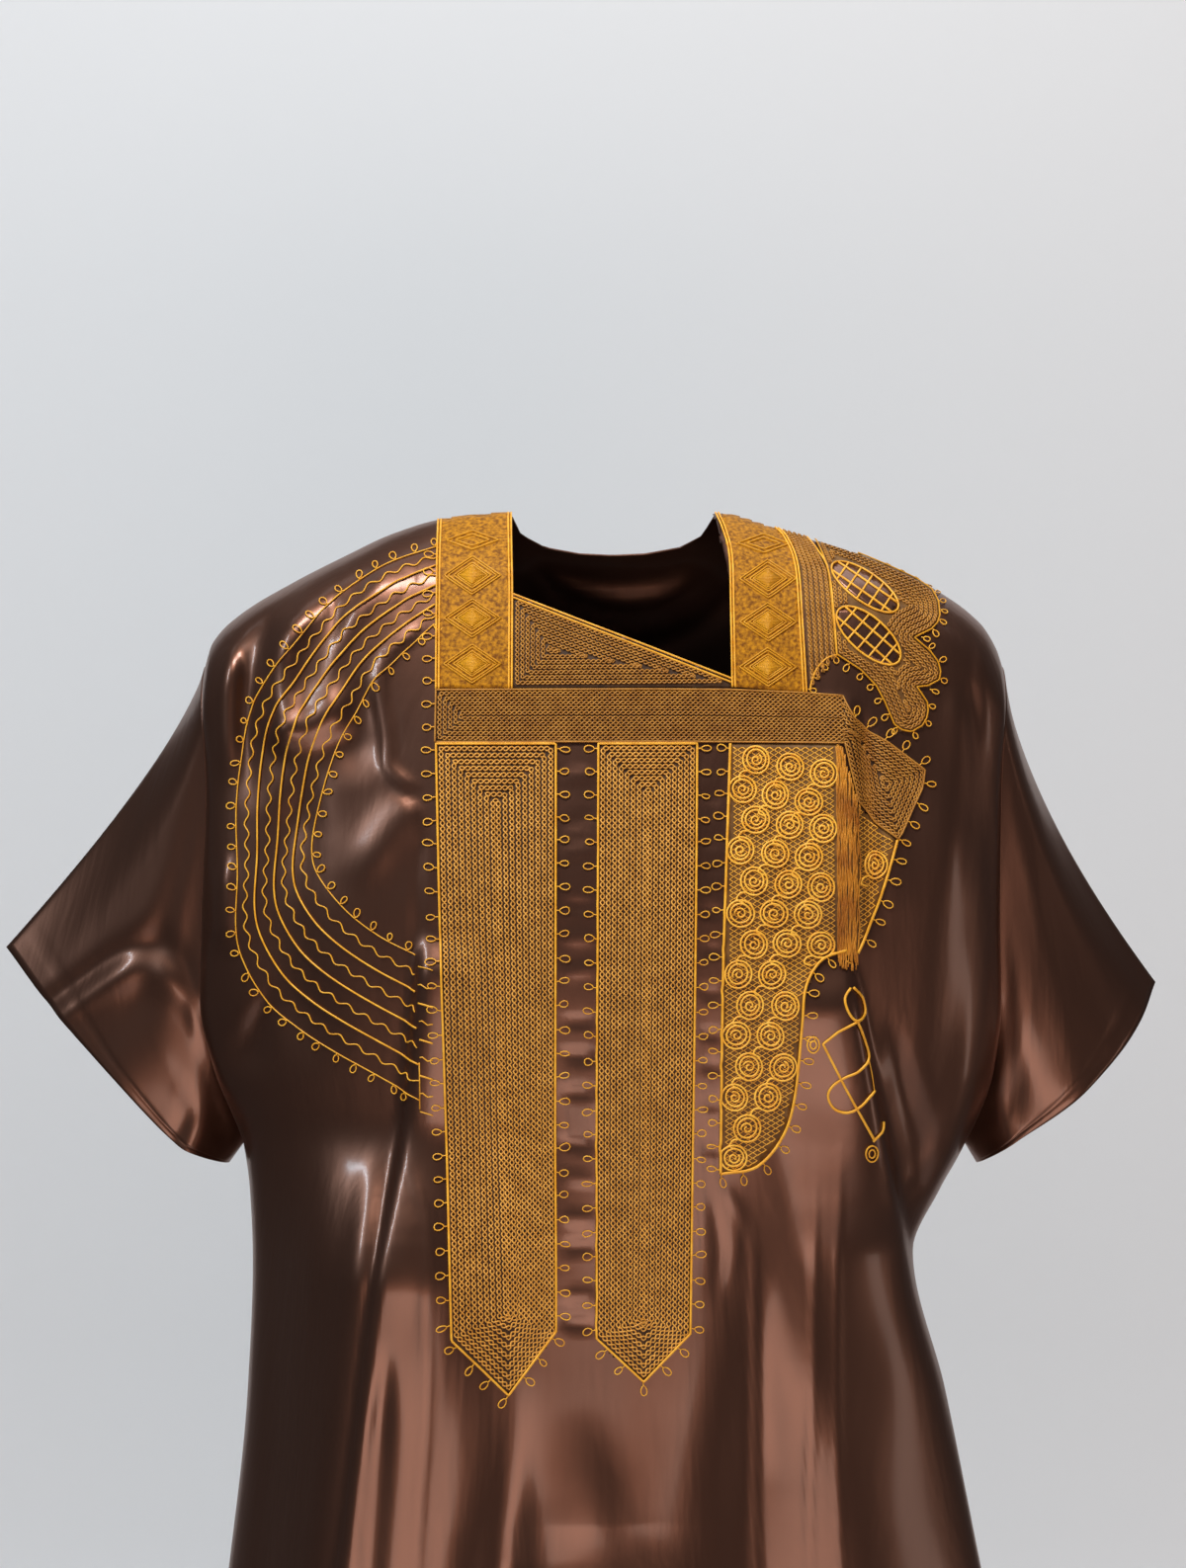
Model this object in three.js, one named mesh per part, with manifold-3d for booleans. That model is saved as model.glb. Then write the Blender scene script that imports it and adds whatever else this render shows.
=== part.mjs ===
// A wide, short-sleeved dashiki maxi dress, as it hangs when worn, with no wearer in it.
// Millimetres. +Z is up, the front faces -Y and the wearer's right side lies towards -X.
// The origin is midway between the two neck points, on the shoulder line that carries the dress.
import * as THREE from "three";
import { mergeVertices } from "three/addons/utils/BufferGeometryUtils.js";
import Module from "manifold-3d";

const wasm = await Module();
wasm.setup();

// ---------------------------------------------------------------- driving dimensions
const dressLength = 1420; // neck point to hem
const clothWall = 1.3; // satin with its backing
const seamGap = 0.3; // between two pieces that are sewn together
const stitchWall = 1.2; // height of the dense gold stitching
const rollDrop = 45; // height over which the cloth turns down from the shoulder line
const shoulderEnd = -100; // height of the shoulder's outer end, where the armhole starts
const underarm = -408; // height of the armhole's lowest point
const armholeFront = 48; // how far the armhole opens to the front and to the back
const armholeBack = 56;
const armholeClosing = 108; // the stretch of the armhole that rounds in to the underarm

// Half widths and depths of the body at each height. "tuck" is how far the side seam lies inside the
// rounded edge, where the arm hangs. "flat" rounds the section: 1 is an ellipse, less is squarer.
const bodyRings = [
  { z: 0, right: 266, left: 254, front: 36, back: 32, tuck: 0, flat: 1.0 },
  { z: -50, right: 266, left: 254, front: 66, back: 60, tuck: 0, flat: 1.0 },
  { z: -100, right: 266, left: 254, front: 88, back: 80, tuck: 0, flat: 1.0 },
  { z: -180, right: 262, left: 250, front: 112, back: 96, tuck: 0, flat: 0.95 },
  { z: -260, right: 265, left: 249, front: 130, back: 100, tuck: 0, flat: 0.9 },
  { z: -320, right: 266, left: 250, front: 134, back: 98, tuck: 0, flat: 0.9 },
  { z: -360, right: 260, left: 248, front: 134, back: 97, tuck: 2, flat: 0.9 },
  { z: -408, right: 246, left: 235, front: 132, back: 97, tuck: 5, flat: 0.9 },
  { z: -440, right: 243, left: 219, front: 131, back: 98, tuck: 8, flat: 0.9 },
  { z: -480, right: 242, left: 202, front: 130, back: 100, tuck: 10, flat: 0.9 },
  { z: -570, right: 246, left: 224, front: 132, back: 108, tuck: 12, flat: 0.88 },
  { z: -693, right: 260, left: 250, front: 140, back: 118, tuck: 14, flat: 0.85 },
  { z: -900, right: 288, left: 296, front: 158, back: 140, tuck: 16, flat: 0.85 },
  { z: -1150, right: 324, left: 348, front: 188, back: 172, tuck: 18, flat: 0.85 },
  { z: -1420, right: 362, left: 400, front: 226, back: 210, tuck: 20, flat: 0.85 },
];

// The shoulder line, from the neck point out to the armhole, on each side.
const shoulderLine = [
  { x: -266, z: -100 },
  { x: -261, z: -84 },
  { x: -243, z: -66 },
  { x: -210, z: -46 },
  { x: -175, z: -28 },
  { x: -143, z: -13 },
  { x: -112, z: -4 },
  { x: -67, z: 0 },
  { x: 67, z: 0 },
  { x: 108, z: -11 },
  { x: 148, z: -23 },
  { x: 182, z: -35 },
  { x: 214, z: -52 },
  { x: 240, z: -72 },
  { x: 250, z: -88 },
  { x: 254, z: -100 },
];

// The hanging folds. Each runs down through three points, with their x in "xs" and their z in "zs", and
// grows over "grow" mm from its top. "out" is its height above the cloth, negative for a trough. A step
// lifts the cloth on its +X side ("side" 1) or its -X side (-1) and lets it sink back over "reach" mm.
const frontFolds = [
  { kind: "step", xs: [-123, -148, -290], zs: [-262, -480, -1420], width: 9, out: 15, grow: 150,
    side: 1, reach: 46 },
  { kind: "soft", xs: [-196, -190, -245], zs: [-400, -600, -1420], width: 34, out: -24, grow: 160 },
  { kind: "soft", xs: [-116, -116, -165], zs: [-420, -640, -1420], width: 22, out: 10, grow: 260 },
  { kind: "soft", xs: [-48, -72, -105], zs: [-560, -700, -1420], width: 26, out: -17, grow: 130 },
  { kind: "soft", xs: [-12, -12, -30], zs: [-560, -700, -1420], width: 28, out: 11, grow: 200 },
  { kind: "soft", xs: [62, 66, 60], zs: [-540, -700, -1420], width: 26, out: -20, grow: 150 },
  { kind: "soft", xs: [140, 136, 155], zs: [-420, -640, -1420], width: 26, out: 13, grow: 240 },
  { kind: "soft", xs: [186, 208, 262], zs: [-560, -700, -1420], width: 30, out: -20, grow: 160 },
  { kind: "step", xs: [146, 160, 205], zs: [-116, -300, -490], width: 9, out: 14, grow: 90,
    side: -1, reach: 52 },
  { kind: "soft", xs: [-168, -152, -160], zs: [-128, -200, -290], width: 24, out: -12, grow: 50 },
  { kind: "soft", xs: [215, 250, 325], zs: [-700, -1000, -1420], width: 24, out: 16, grow: 260 },
];
const backFolds = [
  { kind: "soft", xs: [-170, -182, -255], zs: [-240, -640, -1420], width: 34, out: -22, grow: 220 },
  { kind: "soft", xs: [-112, -118, -178], zs: [-190, -640, -1420], width: 28, out: 13, grow: 320 },
  { kind: "soft", xs: [-60, -66, -105], zs: [-300, -700, -1420], width: 30, out: -20, grow: 260 },
  { kind: "soft", xs: [4, 0, -20], zs: [-220, -700, -1420], width: 32, out: 12, grow: 300 },
  { kind: "soft", xs: [66, 70, 88], zs: [-330, -700, -1420], width: 28, out: -21, grow: 240 },
  { kind: "soft", xs: [118, 128, 176], zs: [-210, -640, -1420], width: 30, out: 14, grow: 320 },
  { kind: "soft", xs: [166, 182, 262], zs: [-260, -640, -1420], width: 32, out: -22, grow: 220 },
];

// Outlines of the dense stitching, in the front view.
const stitching = {
  neck_band_right: [[-113.5, 30], [-67.4, 30], [-65.0, -55], [-64.6, -116.6], [-113.5, -116.6]],
  neck_band_left: [[67.5, 30], [74.6, -32], [75.4, -115.6], [123, -119], [119, -38], [111, 30]],
  neck_triangle: [[-64.2, -57.6], [-64.2, -116.6], [75.0, -115.4], [72.8, -112.8]],
  chest_band: [
    [-113.5, -117.2], [75.2, -116.8], [144.5, -121], [152, -136], [198.4, -168.5], [196.3, -181],
    [180.5, -212.3], [153.7, -188.6], [144.2, -151], [-113.5, -151],
  ],
  knife_outer: [[-112.5, -152], [-36.5, -152], [-36.5, -520.5], [-66.5, -559.5], [-102, -524]],
  knife_inner: [[-9.5, -152], [53, -152], [48, -523], [18.7, -553], [-11.2, -525.3]],
  roundel_panel: [
    [74, -152], [143.4, -152], [152.8, -189.4], [179.8, -213.2], [170.5, -247], [162, -265.5], [154, -284],
    [147, -282], [131, -288.5], [121, -305], [118.6, -329], [114.5, -372], [107, -398], [90, -418],
    [67, -422.5], [68.5, -305],
  ],
  shoulder_lobes: [
    [132, 0], [138.6, -38], [142.6, -94.5], [158, -104.6], [167.7, -114.8], [173, -125], [179, -139.5],
    [190, -144], [200, -135], [200.5, -125], [194, -115.2], [208.5, -110.5], [208, -99], [196, -84],
    [204, -78], [210, -69.5], [209, -50], [200, 0],
  ],
};

// Heights of the rows of cloth at the side edge, below the shoulder's roll.
const edgeRows = [
  -145, -190, -232, -270, -304, -334, -360, -382, -398, -408, -424, -446, -476, -516, -570, -634, -710,
  -800, -910, -1030, -1160, -1290, -1420,
];
const rollRows = 4;
const frontColumns = 44;
const backColumns = 28;

// Each cuff, as points around it: its top (0), front (90), underarm (180) and back (270 degrees). Half way
// out, the sleeve's top has already sunk by "fallX" and "fallZ" from the straight line to the cuff.
const sleeveRows = 8;
const cuffs = {
  right: [
    { turn: 0, x: -398, y: 0, z: -285 },
    { turn: 35, x: -370, y: -22, z: -318 },
    { turn: 90, x: -326, y: -40, z: -366 },
    { turn: 135, x: -277, y: -42, z: -415 },
    { turn: 180, x: -253, y: 0, z: -425 },
    { turn: 225, x: -270, y: 46, z: -414 },
    { turn: 270, x: -320, y: 44, z: -362 },
    { turn: 325, x: -368, y: 24, z: -316 },
    { turn: 360, x: -398, y: 0, z: -285 },
  ],
  left: [
    { turn: 0, x: 356, y: 0, z: -308 },
    { turn: 35, x: 343, y: -22, z: -333 },
    { turn: 90, x: 303, y: -42, z: -379 },
    { turn: 135, x: 262, y: -44, z: -409 },
    { turn: 180, x: 240, y: 0, z: -425 },
    { turn: 225, x: 262, y: 46, z: -409 },
    { turn: 270, x: 302, y: 44, z: -377 },
    { turn: 325, x: 342, y: 24, z: -332 },
    { turn: 360, x: 356, y: 0, z: -308 },
  ],
};
const sleeveFall = { right: { fallX: 46, fallZ: 32 }, left: { fallX: -38, fallZ: 15 } };

// The sleeves' folds: around at "turn" near the armhole and "turnOut" at the cuff.
const sleeveFolds = {
  right: [
    { turn: 62, turnOut: 74, width: 11, out: -9 },
    { turn: 96, turnOut: 104, width: 12, out: 7 },
    { turn: 124, turnOut: 128, width: 10, out: -8 },
    { turn: 236, turnOut: 250, width: 14, out: -9 },
    { turn: 290, turnOut: 300, width: 14, out: 7 },
  ],
  left: [
    { turn: 58, turnOut: 60, width: 12, out: 6 },
    { turn: 86, turnOut: 90, width: 11, out: -9 },
    { turn: 118, turnOut: 116, width: 11, out: 7 },
    { turn: 244, turnOut: 256, width: 14, out: 8 },
    { turn: 282, turnOut: 292, width: 14, out: -9 },
  ],
};

// Neck opening: a slanting front edge, and a shallow scoop behind.
const neck = { half: 67, rightDrop: -54, leftDrop: -108, leftLow: 77, backDrop: -22 };

// ---------------------------------------------------------------- small maths
const clamp = THREE.MathUtils.clamp;
const lerp = THREE.MathUtils.lerp;
const ease = (x, low, high) => THREE.MathUtils.smoothstep(x, low, high);

// A smooth reading of one column of a table along another, through every row.
function column(rows, at, name) {
  const xs = rows.map((r) => r[at]);
  const ys = rows.map((r) => r[name]);
  const rising = xs[1] > xs[0];
  if (!rising) {
    xs.reverse();
    ys.reverse();
  }
  const last = xs.length - 1;
  const chord = (i) => (ys[i + 1] - ys[i]) / (xs[i + 1] - xs[i]);
  const slope = (i) => {
    if (i === 0) return chord(0);
    if (i === last) return chord(last - 1);
    const [a, b] = [chord(i - 1), chord(i)];
    return a * b <= 0 ? 0 : (2 * a * b) / (a + b);
  };
  return (x) => {
    const v = clamp(x, xs[0], xs[last]);
    let i = 0;
    while (i < last - 1 && v > xs[i + 1]) i += 1;
    const h = xs[i + 1] - xs[i];
    const t = (v - xs[i]) / h;
    const [t2, t3] = [t * t, t * t * t];
    return (
      (2 * t3 - 3 * t2 + 1) * ys[i] + (t3 - 2 * t2 + t) * h * slope(i) +
      (3 * t2 - 2 * t3) * ys[i + 1] + (t3 - t2) * h * slope(i + 1)
    );
  };
}

const ring = Object.fromEntries(
  ["right", "left", "front", "back", "tuck", "flat"].map((name) => [name, column(bodyRings, "z", name)]),
);
const shoulder = column(shoulderLine, "x", "z");

// How far a fold lifts the cloth at (x, z).
function foldLift(fold, x, z) {
  const [topX, midX, lowX] = fold.xs;
  const [topZ, midZ, lowZ] = fold.zs;
  if (z > topZ) return 0;
  const t = (topZ - z) / (topZ - lowZ);
  const path = z > midZ
    ? lerp(topX, midX, (topZ - z) / (topZ - midZ))
    : lerp(midX, lowX, (midZ - z) / (midZ - lowZ));
  const strength = fold.out * ease(topZ - z, 0, fold.grow) * (t > 1 ? 0 : 1);
  const across = x - path;
  if (fold.kind === "soft") return strength * Math.exp(-((across / fold.width) ** 2));
  const ahead = across * fold.side;
  const rise = 1 / (1 + Math.exp((-2.5 * ahead) / fold.width));
  const sinking = 1 - ease(ahead, fold.reach * 0.4, fold.reach * 2);
  const ending = fold.side < 0 ? 1 - ease(t, 0.86, 1) : 1;
  return strength * rise * sinking * ending;
}

// How far the armhole opens at height z, to the front (-1) or the back (1).
function armholeDepth(face, z) {
  const closing = clamp((underarm + armholeClosing - z) / armholeClosing, 0, 1);
  return (face < 0 ? armholeFront : armholeBack) * Math.sqrt(1 - closing ** 2);
}

// ---------------------------------------------------------------- body panels
// The point of a panel at angle "turn" (-90 degrees at the wearer's right edge, 90 at the left) and row
// "down". face is -1 for the front and 1 for the back.
function bodyPoint(face, turn, down) {
  const half = (z) => (turn < 0 ? ring.right(z) : ring.left(z));
  const sideways = Math.sin(turn);
  const top = shoulder(half(0) * sideways);
  let z = top;
  let roll = 1;
  if (down <= rollRows) {
    const bend = (down / rollRows) * (Math.PI / 2);
    z = top - rollDrop * (1 - Math.cos(bend));
    roll = Math.sin(bend);
  } else {
    const i = down - rollRows;
    const share = (edgeRows[0] - edgeRows[i]) / (edgeRows[0] + dressLength);
    z = lerp(top - rollDrop, -dressLength, share);
  }
  const edgeward = ease(Math.abs(turn), 1.08, Math.PI / 2) ** 2;
  const x = half(z) * sideways - Math.sign(turn) * ring.tuck(z) * edgeward;
  const armhole = armholeDepth(face, z);
  const depth = (face < 0 ? ring.front : ring.back)(z);
  const bow = Math.max(Math.cos(turn), 0) ** ring.flat(z);
  const quiet = 1 - ease(Math.abs(turn), 1.05, 1.4);
  const folds = (face < 0 ? frontFolds : backFolds).reduce((sum, f) => sum + foldLift(f, x, z), 0);
  const y = (armhole + (depth - armhole) * bow) * roll + folds * quiet * roll;
  return new THREE.Vector3(x, face * Math.max(y, seamGap / 2), z);
}

// ---------------------------------------------------------------- sleeves
// The armhole's corners on one side, from its top by the front to the underarm and up the back. Each has
// the body's edge there and how far it has turned around the sleeve, in degrees.
function armholeLoop(side) {
  const edge = side === "right" ? -Math.PI / 2 : Math.PI / 2;
  const rows = rollRows + edgeRows.indexOf(underarm);
  const halfway = (shoulderEnd + underarm) / 2;
  const turnOf = (z) => {
    const height = clamp((z - halfway) / (shoulderEnd - halfway), -1, 1);
    return THREE.MathUtils.radToDeg(Math.acos(height));
  };
  const front = Array.from({ length: rows + 1 }, (_, j) => bodyPoint(-1, edge, j));
  const back = Array.from({ length: rows + 1 }, (_, j) => bodyPoint(1, edge, j));
  const loop = front.map((point) => ({ point, turn: turnOf(point.z) }));
  for (let j = rows - 1; j > 0; j -= 1) loop.push({ point: back[j], turn: 360 - turnOf(back[j].z) });
  loop[0].point.setY(0);
  loop[rows].point.setY(0);
  return loop;
}

// The point of a sleeve at one corner of its armhole, and "along" from the armhole (0) to the cuff (1).
function sleevePoint(side, corner, along) {
  const sign = side === "right" ? -1 : 1;
  const { turn } = corner;
  const clear = clothWall + seamGap;
  const under = ease(-Math.cos(THREE.MathUtils.degToRad(turn)), 0.5, 1);
  const start = corner.point.clone().add(new THREE.Vector3(sign * clear, 0, -clear * under));
  const axes = ["x", "y", "z"];
  const cuff = new THREE.Vector3(...axes.map((axis) => column(cuffs[side], "turn", axis)(turn)));
  const { fallX, fallZ } = sleeveFall[side];
  const top = Math.max(Math.cos(THREE.MathUtils.degToRad(turn)), 0) ** 1.5;
  const middle = start.clone().lerp(cuff, 0.5).add(new THREE.Vector3(fallX * top, 0, fallZ * top));
  const point = start
    .multiplyScalar((1 - along) ** 2)
    .addScaledVector(middle, 2 * along * (1 - along))
    .addScaledVector(cuff, along ** 2);
  const lift = sleeveFolds[side].reduce((sum, fold) => {
    const across = turn - lerp(fold.turn, fold.turnOut, along);
    return sum + fold.out * Math.exp(-((across / fold.width) ** 2)) * ease(along, 0, 0.5);
  }, 0);
  point.y += (turn <= 180 ? -1 : 1) * lift;
  return point;
}

// A grid of points: rows of columns, with the unit normal that faces out of the garment at each.
// A tube's last column is its first one again.
function gridOf(columns, rows, pointAt, outward, tube = false) {
  const points = [];
  for (let j = 0; j <= rows; j += 1) {
    points.push([]);
    for (let i = 0; i <= columns; i += 1) points[j].push(pointAt(tube ? i % columns : i, j));
  }
  const normals = points.map((row, j) =>
    row.map((_, i) => {
      const next = tube ? (i + 1) % columns : Math.min(i + 1, columns);
      const before = tube ? (i - 1 + columns) % columns : Math.max(i - 1, 0);
      const east = row[next].clone().sub(row[before]);
      const south = points[Math.min(j + 1, rows)][i].clone().sub(points[Math.max(j - 1, 0)][i]);
      return east.cross(south).multiplyScalar(outward).normalize();
    }),
  );
  return { points, normals, columns, rows, outward, tube };
}

// A closed wall between two offsets of a grid, "low" and "high" mm out along its normals.
function wallOf(grid, low, high) {
  const wide = grid.columns + 1;
  const deep = grid.rows + 1;
  const positions = [];
  for (const offset of [high, low])
    for (let j = 0; j < deep; j += 1)
      for (let i = 0; i < wide; i += 1)
        positions.push(...grid.points[j][i].clone().addScaledVector(grid.normals[j][i], offset).toArray());
  const layer = wide * deep;
  const at = (side, i, j) => side * layer + j * wide + i;
  const faces = [];
  const quad = (a, b, c, d) => faces.push(a, b, c, a, c, d);
  for (let j = 0; j < deep - 1; j += 1)
    for (let i = 0; i < wide - 1; i += 1) {
      quad(at(0, i, j), at(0, i, j + 1), at(0, i + 1, j + 1), at(0, i + 1, j));
      quad(at(1, i, j), at(1, i + 1, j), at(1, i + 1, j + 1), at(1, i, j + 1));
    }
  for (let i = 0; i < wide - 1; i += 1) {
    quad(at(0, i, 0), at(0, i + 1, 0), at(1, i + 1, 0), at(1, i, 0));
    quad(at(0, i, deep - 1), at(1, i, deep - 1), at(1, i + 1, deep - 1), at(0, i + 1, deep - 1));
  }
  for (let j = 0; j < deep - 1 && !grid.tube; j += 1) {
    quad(at(0, 0, j), at(1, 0, j), at(1, 0, j + 1), at(0, 0, j + 1));
    quad(at(0, wide - 1, j), at(0, wide - 1, j + 1), at(1, wide - 1, j + 1), at(1, wide - 1, j));
  }
  if (grid.outward > 0) {
    for (let k = 0; k < faces.length; k += 3) [faces[k + 1], faces[k + 2]] = [faces[k + 2], faces[k + 1]];
  }
  const geometry = new THREE.BufferGeometry();
  geometry.setAttribute("position", new THREE.Float32BufferAttribute(positions, 3));
  geometry.setIndex(faces);
  return geometry;
}

function bodyGrid(face, columns) {
  const rows = rollRows + edgeRows.length - 1;
  const turn = (i) => ((i / columns) * 2 - 1) * (Math.PI / 2);
  const grid = gridOf(columns, rows, (i, j) => bodyPoint(face, turn(i), j), face);
  // On a seam the wall stands square to the seam's plane, so that both sides meet flat.
  grid.normals.forEach((row, j) =>
    row.forEach((n, i) => {
      if (j === 0 || i === 0 || i === columns) n.setY(0).normalize();
    }),
  );
  return grid;
}

// ---------------------------------------------------------------- solids and cuts
function solidOf(geometry) {
  const bare = geometry.index ? geometry.toNonIndexed() : geometry.clone();
  for (const name of ["normal", "uv"]) bare.deleteAttribute(name);
  const merged = mergeVertices(bare, 1e-4);
  return new wasm.Manifold(
    new wasm.Mesh({
      numProp: 3,
      vertProperties: merged.attributes.position.array,
      triVerts: new Uint32Array(merged.index.array),
    }),
  );
}

function geometryOf(solid) {
  const mesh = solid.getMesh();
  const geometry = new THREE.BufferGeometry();
  geometry.setAttribute("position", new THREE.Float32BufferAttribute(mesh.vertProperties, 3));
  geometry.setIndex(new THREE.BufferAttribute(mesh.triVerts, 1));
  return geometry;
}

// A cutter: an outline drawn in the front view (x across, z up), run from depth y0 to y1.
function throughCloth(shape, y0, y1) {
  const through = { depth: y1 - y0, bevelEnabled: false, curveSegments: 6 };
  const geometry = new THREE.ExtrudeGeometry(shape, through);
  geometry.rotateX(Math.PI / 2);
  geometry.translate(0, y1, 0);
  return solidOf(geometry);
}

const outline = (...corners) => new THREE.Shape(corners.map(([x, z]) => new THREE.Vector2(x, z)));

const frontGrid = bodyGrid(-1, frontColumns);
const backGrid = bodyGrid(1, backColumns);

function frontPanel() {
  const above = 60;
  const opening = outline(
    [-neck.half, above],
    [-neck.half, neck.rightDrop],
    [neck.leftLow, neck.leftDrop],
    [neck.leftLow - 1, neck.rightDrop],
    [neck.half, -4],
    [neck.half, above],
  );
  return geometryOf(solidOf(wallOf(frontGrid, 0, clothWall)).subtract(throughCloth(opening, -220, 20)));
}

function backPanel() {
  const scoop = outline([-neck.half, 60], [-neck.half, 0]);
  scoop.bezierCurveTo(-neck.half * 0.85, neck.backDrop, -neck.half * 0.5, neck.backDrop, 0, neck.backDrop);
  scoop.bezierCurveTo(neck.half * 0.5, neck.backDrop, neck.half * 0.85, neck.backDrop, neck.half, 0);
  scoop.lineTo(neck.half, 60);
  return geometryOf(solidOf(wallOf(backGrid, 0, clothWall)).subtract(throughCloth(scoop, -20, 220)));
}

function sleeve(side) {
  const loop = armholeLoop(side);
  const pointAt = (i, j) => sleevePoint(side, loop[i], j / sleeveRows);
  const grid = gridOf(loop.length, sleeveRows, pointAt, side === "right" ? 1 : -1, true);
  // At the armhole the wall stands square to the body's edge.
  grid.normals[0].forEach((n) => n.setX(0).normalize());
  return geometryOf(solidOf(wallOf(grid, 0, clothWall)));
}

// Dense gold stitching, raised on the front inside an outline.
function stitched(corners) {
  const low = clothWall + seamGap;
  const field = solidOf(wallOf(frontGrid, low, low + stitchWall));
  return geometryOf(field.intersect(throughCloth(outline(...corners), -240, 20)));
}

const dress = new THREE.Group();
const satin = () => new THREE.MeshStandardMaterial({ color: 0x3a241c, roughness: 0.32, metalness: 0.0 });
const goldThread = () =>
  new THREE.MeshStandardMaterial({ color: 0xb8802c, roughness: 0.55, metalness: 0.1 });

function addPiece(name, geometry, material) {
  const mesh = new THREE.Mesh(geometry, material);
  mesh.name = name;
  dress.add(mesh);
}

addPiece("front", frontPanel(), satin());
addPiece("back", backPanel(), satin());
addPiece("sleeve_right", sleeve("right"), satin());
addPiece("sleeve_left", sleeve("left"), satin());
for (const [name, corners] of Object.entries(stitching)) addPiece(name, stitched(corners), goldThread());

export default dress;
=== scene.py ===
# A wide dashiki maxi dress in dark brown satin with gold machine embroidery, hanging as it is worn.
# Tables are in millimetres in the front view (x to the wearer's left, z up); the scene is in metres.
import math
import bpy
import numpy as np
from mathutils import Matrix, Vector


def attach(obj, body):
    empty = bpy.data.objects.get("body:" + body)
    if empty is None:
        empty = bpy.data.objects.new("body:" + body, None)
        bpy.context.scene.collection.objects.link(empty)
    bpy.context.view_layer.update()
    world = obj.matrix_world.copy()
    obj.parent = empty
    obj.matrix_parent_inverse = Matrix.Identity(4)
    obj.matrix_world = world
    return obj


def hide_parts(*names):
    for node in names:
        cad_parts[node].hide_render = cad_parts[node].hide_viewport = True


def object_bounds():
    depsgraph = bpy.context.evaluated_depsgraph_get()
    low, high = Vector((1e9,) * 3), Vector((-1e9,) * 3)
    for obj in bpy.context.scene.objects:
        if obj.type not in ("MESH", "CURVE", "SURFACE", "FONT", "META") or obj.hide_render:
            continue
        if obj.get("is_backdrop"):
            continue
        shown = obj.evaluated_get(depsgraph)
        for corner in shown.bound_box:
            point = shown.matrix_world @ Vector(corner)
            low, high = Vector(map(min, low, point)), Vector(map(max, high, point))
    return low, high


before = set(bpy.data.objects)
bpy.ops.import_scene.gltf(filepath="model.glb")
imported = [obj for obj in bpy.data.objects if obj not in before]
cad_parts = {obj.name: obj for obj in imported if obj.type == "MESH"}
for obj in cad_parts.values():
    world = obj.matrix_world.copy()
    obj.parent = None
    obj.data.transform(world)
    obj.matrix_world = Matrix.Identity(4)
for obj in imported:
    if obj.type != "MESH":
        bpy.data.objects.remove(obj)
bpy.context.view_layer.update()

mm = 0.001
rng = np.random.default_rng(7)  # draws the puckers between the knives

camera = {"place": (-0.013, -3.0, -0.177), "lens": 104.7, "sensor": 36.0, "farthest": 50.0}


def addCamera():
    # a level camera before the dress that looks along +y
    data = bpy.data.cameras.new("camera")
    data.lens = camera["lens"]
    data.sensor_width = camera["sensor"]
    data.clip_end = camera["farthest"]
    seen = bpy.data.objects.new("camera", data)
    seen.location = camera["place"]
    seen.rotation_euler = (math.pi / 2, 0, 0)
    bpy.context.scene.collection.objects.link(seen)
    bpy.context.scene.camera = seen


addCamera()

lights = [  # name, place, aim, width and height, watts, colour
    ("frontSoftbox", (0.25, -2.6, -1.18), (0.03, 0.0, -0.65), (1.7, 1.1), 33, (1.0, 0.80, 0.69)),
    ("rightSoftbox", (2.75, -0.65, -0.7), (0.1, 0.0, -0.55), (0.6, 1.3), 7, (1.0, 0.90, 0.82)),
    ("leftStrip", (-1.65, -1.15, 1.25), (-0.2, 0.0, -0.15), (0.11, 1.0), 30, (0.70, 0.87, 1.0)),
    ("keyAbove", (-0.25, -0.95, 2.0), (0.0, -0.1, -0.4), (0.8, 0.4), 50, (1.0, 0.97, 0.93)),
    ("backdropLight", (0.0, 0.5, 1.9), (0.0, 1.6, -0.3), (3.2, 0.6), 8, (0.97, 0.98, 1.0)),
    ("backFill", (0.5, 1.0, 2.2), (0.0, 0.0, -0.7), (1.2, 0.8), 12, (1.0, 0.97, 0.94)),
]


def addLights():
    # area lights, each turned from its place towards its aim
    for name, place, aim, size, power, tint in lights:
        data = bpy.data.lights.new(name, "AREA")
        data.shape = "RECTANGLE"
        data.size, data.size_y = size
        data.energy = power
        data.color = tint
        lamp = bpy.data.objects.new(name, data)
        lamp.location = place
        lamp.rotation_euler = (Vector(aim) - Vector(place)).to_track_quat("-Z", "Y").to_euler()
        bpy.context.scene.collection.objects.link(lamp)


addLights()
print("camera and lights ready")

dress = {
    "length": 1420.0, "rollDrop": 45.0, "shoulderEnd": -100.0, "underarm": -408.0,
    "armhole": {-1: 48.0, 1: 56.0},  # its depth to the front (-1) and to the back (1)
    "armholeClosing": 108.0, "armholeFade": (230, 520),
    "edgeTurn": (1.15, 1.5), "quietTurn": (1.12, 1.5),  # where the seam's form takes over, and folds die out
    "foldsStart": 0.9, "wall": 1.2, "seam": 0.3,
}
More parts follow.
